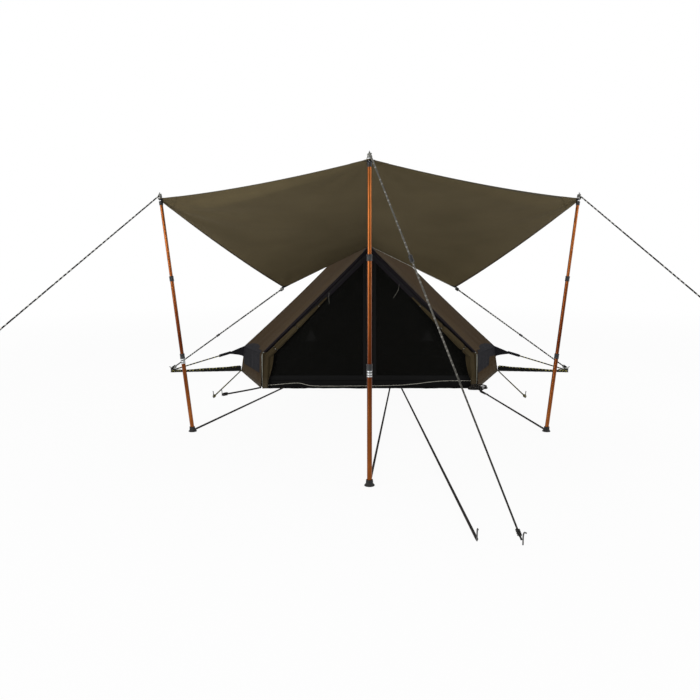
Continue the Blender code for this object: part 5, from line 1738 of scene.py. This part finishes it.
def build_peak_patch():
    """A round reinforcement over the tent's peak."""
    def surface(s, t):
        w, side = (6 - 6 * s, -1) if s > 0.5 else (6 * s, 1)
        at = roof_cloth(0.002 + 0.055 * t, w)
        at.x = max(at.x, 0.0)
        return mirrored(at, side) + up(0.0026)
    work = grid(surface, 72, 8, 1, (0.7, 0.12))
    weld(work, 0.00005)
    bmesh.ops.edgeloop_fill(work, edges=[edge for edge in rims(work) if edge.verts[0].co.z > 2.0])
    bmesh.ops.recalc_face_normals(work, faces=work.faces)
    return sewn("peak_patch", work, BLACK_CANVAS, CANVAS_THICK, "black_cloth")


def build_ridge_tape():
    width = 0.022

    def surface(s, t):
        w = 0.95 * RIDGE_SHARE * t
        across = (2 * s - 1) * width / 2
        here = roof_cloth(0.0, w)
        way = (roof_cloth(0.05, w) - here).normalized()
        at = Vector((0.0, here.y, here.z)) + mirrored(way, 1 if across > 0 else -1) * abs(across)
        return at + up(0.0016)
    work = grid(surface, 4, 40, 1, (width, 1.2))
    centre_chart(work, width)
    return sewn("ridge_tape", work, SEAM_TAPE)


# Doorway

def doorway_point(inset_by, along, y):
    at = FRONT_APEX + INWARD * inset_by + SLOPE * along
    return Vector((at.x, y, at.z))


def sleeve_outline():
    """The sleeve's section: in from the roof line, and forward from the roof's edge."""
    round_part = []
    middle, half = SLEEVE_BULGE / 2 - SLEEVE_RISE / 2, SLEEVE_BULGE / 2 + SLEEVE_RISE / 2
    for i in range(13):
        turn = math.pi * i / 12
        flat = abs(math.cos(turn)) ** 0.7 * math.copysign(1, math.cos(turn))
        round_part.append((middle - half * flat, SLEEVE_DEPTH * math.sin(turn) ** 0.55))
    tail = [(SLEEVE_BULGE + 0.006, SLEEVE_TAIL), (0.046, SLEEVE_TAIL * 0.8),
            (SLEEVE_WIDTH - 0.001, SLEEVE_TAIL), (SLEEVE_WIDTH, SLEEVE_TAIL * 0.5),
            (SLEEVE_WIDTH - 0.001, 0.0), (0.040, 0.0), (0.015, 0.0)]
    return round_part + tail


def build_sleeves():
    outline = sleeve_outline()
    count = len(outline)
    end = SLOPE_LONG - BEND

    def surface(s, t):
        inset_by, forward = outline[round(s * count) % count]
        start = -(INWARD.x * inset_by) / SLOPE.x
        along = start + (end - start) * t
        wave = noise.noise(Vector((along * 9, s * 4, 0)))
        pucker = 0.0016 * math.sin(along * 62.0) + 0.002 * wave
        loose = math.sin(math.pi * min(forward / SLEEVE_DEPTH, 1.0)) if forward > 0.004 else 0.0
        calm = ease(t / 0.03) * ease((1 - t) / 0.03)
        return doorway_point(inset_by, along,
                             SLEEVE_BACK_Y - forward + pucker * loose * calm)
    work = grid(surface, count, 120, 1, (0.15, SLOPE_LONG))
    weld(work)
    mirrored_whole(work)
    bmesh.ops.holes_fill(work, edges=rims(work), sides=0)
    bmesh.ops.recalc_face_normals(work, faces=work.faces)
    item = piece("rafter_sleeves", work, SLEEVE_CANVAS, 50.0)
    ride(item, "shelter", "black_cloth", "door_sleeves")
    for side, word in BOTH:
        def path(t, side=side):
            return mirrored(doorway_point(0.048, 0.07 + (end - 0.09) * t,
                                          SLEEVE_BACK_Y - SLEEVE_TAIL - 0.0009), side)

        def out_at(t, side=side):
            return mirrored(INWARD, side), FORWARD
        band(f"{word}_sleeve_binding", path, out_at, 0.018, BLACK_TAPE, 0.0, slot="black_cloth",
             rows=60)


def mesh_seam_z(x):
    return APEX_Z + (SLOPE.z / SLOPE.x) * x - SEAM_INSET / SLOPE.x


def build_mesh_doors():
    y = FRONT_Y + 0.00075
    for side, word in BOTH:
        def surface(s, t):
            x = 0.001 + (MESH_HALF - 0.001) * s
            top = mesh_seam_z(x)
            z = MESH_BOTTOM + (top - MESH_BOTTOM) * t
            free = math.sin(math.pi * s) * math.sin(math.pi * t)
            sway = 0.010 * free * (1 + noise.noise(Vector((x * 4, z * 3, side))))
            return Vector((x, y + sway, z))
        body = f"{word}_mesh"
        item = sewn(f"{word}_net", grid(surface, 36, 40, side, (1.25, 1.55)), BLACK_NET_AND_SHADE, 0.0006,
                    "black_mesh", body, [f"{word}_mesh_door"])
        trims = []

        def strip(name, start, end, width, lift=0.0011):
            across = (Vector(end) - Vector(start)).normalized().cross(FORWARD).normalized()
            trims.append(band(
                name, lambda t: mirrored(mix(start, end, t), side),
                lambda t: (mirrored(across, side), FORWARD), width, NET_TAPE, lift, body=body,
                slot="black_cloth", rows=24))
        for name, x, above, seam_x, width in (("zip_tape", 0.010, 0.004, 0.02, 0.014),
                                              ("zip_flap", 0.060, 0.06, 0.09, 0.036)):
            strip(f"{word}_{name}", (x, y, MESH_BOTTOM + above),
                  (x, y, mesh_seam_z(seam_x) - 0.01), width)
        strip(f"{word}_net_hem", (0.03, y, MESH_BOTTOM + 0.030), (MESH_HALF - 0.03, y,
              MESH_BOTTOM + 0.030), 0.055)
        low_x = MESH_HALF - 0.01
        strip(f"{word}_net_edge", (0.03, y, mesh_seam_z(0.03) - 0.022),
              (low_x, y, mesh_seam_z(low_x) - 0.022), 0.020, lift=0.0013)

        # A lighter triangle on each net: painted light, for a rear vent's light seen through the doorway.
        def triangle(s, t):
            at = surface((0.70 + 0.075 * t * (2 * s - 1)) / MESH_HALF, 0.0)
            z = 0.72 - 0.14 * t
            return surface(at.x / MESH_HALF, (z - MESH_BOTTOM)
                           / (mesh_seam_z(at.x) - MESH_BOTTOM)) + Vector((0.0, -0.0009, 0.0))
        work = grid(triangle, 8, 8, side, (0.15, 0.14))
        weld(work)
        trims.append(sewn(f"{word}_door_vent_light", work, VENT_LIGHT_NET, 0.0005, "black_mesh", body))
        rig.sheet(item, flat=(1.25, 1.58), held="stretched", rests_on=["door_sleeves"],
                 area=round(0.5 * 1.25 * (1.59 + 0.36), 2), with_pieces=trims)
    build_zip()


def build_zip():
    lo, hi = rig.box("zip_slider")
    middle = (lo + hi) / 2
    work = bmesh.new()
    bmesh.ops.create_cube(work, size=1.0)
    bmesh.ops.scale(work, verts=work.verts, vec=(0.009, 0.0052, 0.013))
    bmesh.ops.translate(work, verts=work.verts, vec=middle + Vector((0.0, 0.0006, 0.0055)))
    bmesh.ops.bevel(work, geom=work.edges[:], offset=0.0014, segments=3, profile=0.5,
                    affect="EDGES", material=-1)
    slider = piece("zip_slider_body", work, STEEL)
    ride(slider, "slider", "steel", "zip_slider")
    pull = smooth_path([middle + Vector((0.0, -0.0022, 0.004)),
                        middle + Vector((0.0015, -0.0024, -0.004)),
                        middle + Vector((0.0, -0.0022, -0.012))], 12)
    ride(swept("zip_pull", pull, 0.0011, STEEL, sides=8), "slider", "steel")


def build_floor():
    half = [(1.296, FRONT_Y + 0.010), (1.765, 0.0), (0.96, 1.48)]
    work = bmesh.new()
    work.loops.layers.uv.new("UVMap")
    corners = [(x, y, 0.001) for x, y in half] + [(-x, y, 0.001) for x, y in reversed(half)]
    work.faces.new([work.verts.new(c) for c in corners])
    bmesh.ops.triangulate(work, faces=work.faces[:])
    bmesh.ops.subdivide_edges(work, edges=work.edges[:], cuts=20, use_grid_fill=True)
    for vert in work.verts:
        if all(not edge.is_boundary for edge in vert.link_edges):
            vert.co.z += 0.0012 * (1 + noise.noise(vert.co * 3.0))
    item = sewn("floor_cloth", work, COATED, CANVAS_THICK, "groundsheet", replaces=["groundsheet"])
    sill_y = FRONT_Y + 0.0125

    def sill(s, t):
        x = -1.275 + 2.55 * s
        lean = 0.004 * math.sin(x * 9.0) * math.sin(math.pi * t)
        ripple = 0.0025 * noise.noise(Vector((x * 7.0, t * 2.0, 0.0))) * math.sin(math.pi * t)
        return Vector((x, sill_y + 0.003 + 0.5 * lean + ripple, 0.0022 + (SILL_TOP - 0.0024) * t))
    strip = sewn("floor_sill", grid(sill, 90, 8, 1, (2.55, 0.095)), COATED, 0.0016, "groundsheet")
    route = [(x, sill_y - 0.0008, min(z, SILL_TOP - 0.004)) for x, z in (
        (-1.300, 0.030), (-1.10, 0.046), (-0.869, 0.062), (-0.712, 0.029), (-0.45, 0.024),
        (-0.055, 0.027), (0.25, 0.031), (0.492, 0.045), (0.85, 0.085), (1.191, 0.130),
        (1.245, 0.134))]
    pipe = swept("floor_piping", smooth_path(route, 60), 0.0032, PIPING_AND_HIGHLIGHT, sides=8)
    ride(pipe, "shelter", "groundsheet")
    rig.sheet(item, flat=(3.53, 2.66), held="laid", rests_on=["tent_wall"],
             area=cloth_area(item), with_pieces=[strip, pipe])


def roll_radius(share):
    place_on = share * (len(ROLL_RADII) - 1)
    low = min(int(place_on), len(ROLL_RADII) - 2)
    part = ease(place_on - low)
    return ROLL_RADII[low] + (ROLL_RADII[low + 1] - ROLL_RADII[low]) * part


def roll_centre(share):
    slant = (FRONT_EAVE.x - ROLL_TOP_X) / SLOPE.x
    top_along = ROLL_TOP_X / SLOPE.x
    knee = doorway_point(ROLL_INSET, top_along + slant - BEND, 0.0)
    if share < ROLL_KNEE:
        at = mix(doorway_point(ROLL_INSET, top_along, 0.0), knee, share / ROLL_KNEE)
    else:
        at = mix(knee, ROLL_FOOT, (share - ROLL_KNEE) / (1 - ROLL_KNEE))
    radius = roll_radius(share) * 1.10 + FIT
    over_bulge = math.sqrt(max(radius ** 2 - (ROLL_INSET - SLEEVE_BULGE) ** 2, 0.0))
    at.y = min(SLEEVE_BACK_Y - SLEEVE_TAIL - radius,
               SLEEVE_BACK_Y - SLEEVE_DEPTH + 0.006 - over_bulge)
    return at


def roll_frame(share):
    before = roll_centre(max(share - 0.04, 0.0))
    after = roll_centre(min(share + 0.04, 1.0))
    along = Vector((after.x - before.x, 0.0, after.z - before.z)).normalized()
    across = along.cross(Vector((0.0, 1.0, 0.0))).normalized()
    return roll_centre(share), across


def roll_point(share, turn, size):
    centre, across = roll_frame(share)
    return centre + (across * math.cos(turn) + Vector((0, 1, 0)) * math.sin(turn)) * size


def build_rolls():
    """Each canvas door half, rolled up and tied back along the doorway."""
    for side, word in BOTH:
        def surface(s, t):
            turn = math.tau * s
            radius = roll_radius(t)
            fold = 1 + 0.10 * math.cos(4 * turn + 2.2 * t)
            deep = 0.16 * max(0.0, math.cos(3 * turn - 3.4 * t + side)) ** 8
            fine = 0.05 * math.sin(11 * turn + 5.0 * t) * math.sin(9.0 * t)
            bound = 0.30 * sum(math.exp(-((t - tie) / 0.012) ** 2) for tie in ROLL_TIES)
            size = radius * min(fold - deep + fine, 1.10) * (1 - bound)
            return roll_point(t, turn, size)
        work = grid(surface, 64, 150, side, (0.2, 1.5))
        weld(work)
        for limit in (0.0, 1.0):
            spot = mirrored(roll_centre(limit), side)
            rim = [edge for edge in rims(work) if (edge.verts[0].co - spot).length < 0.05]
            bmesh.ops.edgeloop_fill(work, edges=rim)
        bmesh.ops.recalc_face_normals(work, faces=work.faces)
        item = piece(f"{word}_rolled_door", work, DOOR_CANVAS, 60.0)
        ride(item, "shelter", "canvas", f"{word}_door_roll")
        for number, tie in enumerate(ROLL_TIES, 1):
            radius = roll_radius(tie) * 0.80 + 0.002
            points = [mirrored(roll_point(tie, math.tau * i / 24, radius), side)
                      for i in range(25)]
            ride(swept(f"{word}_roll_tie_{number}", points, 0.0022, DARK_ROPE, sides=8), "shelter",
                 "black_cord")


def build_door_folds():
    """The gathered foot of each rolled door, which hangs beside its upright."""
    for side, word in BOTH:
        def surface(s, t):
            wide = 0.135 * (1 - 0.86 * t ** 2.2)
            outer = 1.286 + 0.010 * t
            x = outer - wide * s
            z = 0.440 - 0.434 * t + 0.018 * s * (1 - t)
            fold = 0.5 + 0.5 * math.cos(s * 11.0 + 1.2 * t)
            y = -1.2230 - 0.016 * fold * (0.35 + 0.65 * (1 - t)) - 0.010 * s * (1 - t)
            return Vector((x, y, z))
        sewn(f"{word}_door_fold", grid(surface, 30, 40, side, (0.135, 0.44)), DOOR_CANVAS, 0.0014)


def build_front_lip():
    """The groundsheet's lip that lies in front of the doorway."""
    def surface(s, t):
        x = -1.285 + 2.57 * s
        fine = noise.noise(Vector((x * 17.0, t, 5.0)))
        wave = noise.noise(Vector((x * 5.0, t, 3.0))) + 0.6 * fine
        deep = 0.045 + 0.014 * noise.noise(Vector((x * 3.0, 0.0, 8.0)))
        return Vector((x, FRONT_Y + 0.011 - deep * t,
                       0.0016 + (0.006 + 0.006 * wave) * math.sin(math.pi * min(t, 0.8))))
    sewn("doorway_lip", grid(surface, 120, 6, 1, (2.57, 0.05)), COATED, CANVAS_THICK,
         "groundsheet")


def build_straps():
    for side, word in BOTH:
        start = Vector((1.7766, 0.0, 0.0))
        way = (TENT_PEG - start).normalized()
        stop = TENT_PEG - way * (PEG_R + 0.0006)

        def surface(s, t):
            flat = mix(start, stop, t)
            high = STRAP_HIGH + (STRAP_END - STRAP_HIGH) * t
            free = math.sin(math.pi * min(t * 1.1, 1.0))
            lean = free * (0.006 * math.sin(math.pi * s) * math.sin(t * 31.0)
                           + 0.003 * math.sin(t * 67.0))
            top = 1 + 0.10 * free * math.sin(t * 43.0)
            return Vector((flat.x - 0.003 * s * (1 - t), flat.y + lean, 0.0008 + high * s * top))
        width = 0.03
        work = grid(surface, 6, 110, side, (width, 0.95))
        centre_chart(work, width)
        item = sewn(f"{word}_webbing", work, WEBBING, 0.002, "black_cord",
                    replaces=[f"{word}_strap"])
        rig.sheet(item, flat=(0.070, 0.95), held="stretched", rests_on=[f"{word}_tent_peg"],
                 area=0.043)


def dress_bare_nodes():
    for name in ("left_door_pole", "right_door_pole", "tent_pole"):
        materials = frame["nodes"][name].data.materials
        materials.clear()
        materials.append(DULL_METAL)


build_studio()
build_head_lines()
build_tent_lines()
build_ground_lines()
build_door_ties()
build_poles()
build_runners()
build_awning()
build_tent()
build_sleeves()
build_mesh_doors()
build_floor()
build_rolls()
build_door_folds()
build_front_lip()
build_straps()
dress_bare_nodes()

DRESSED_BOX = [list(corner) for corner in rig.bounds()]
with open("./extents.json", "w") as out:
    json.dump({"cad": CAD_BOX, "visual": DRESSED_BOX}, out)
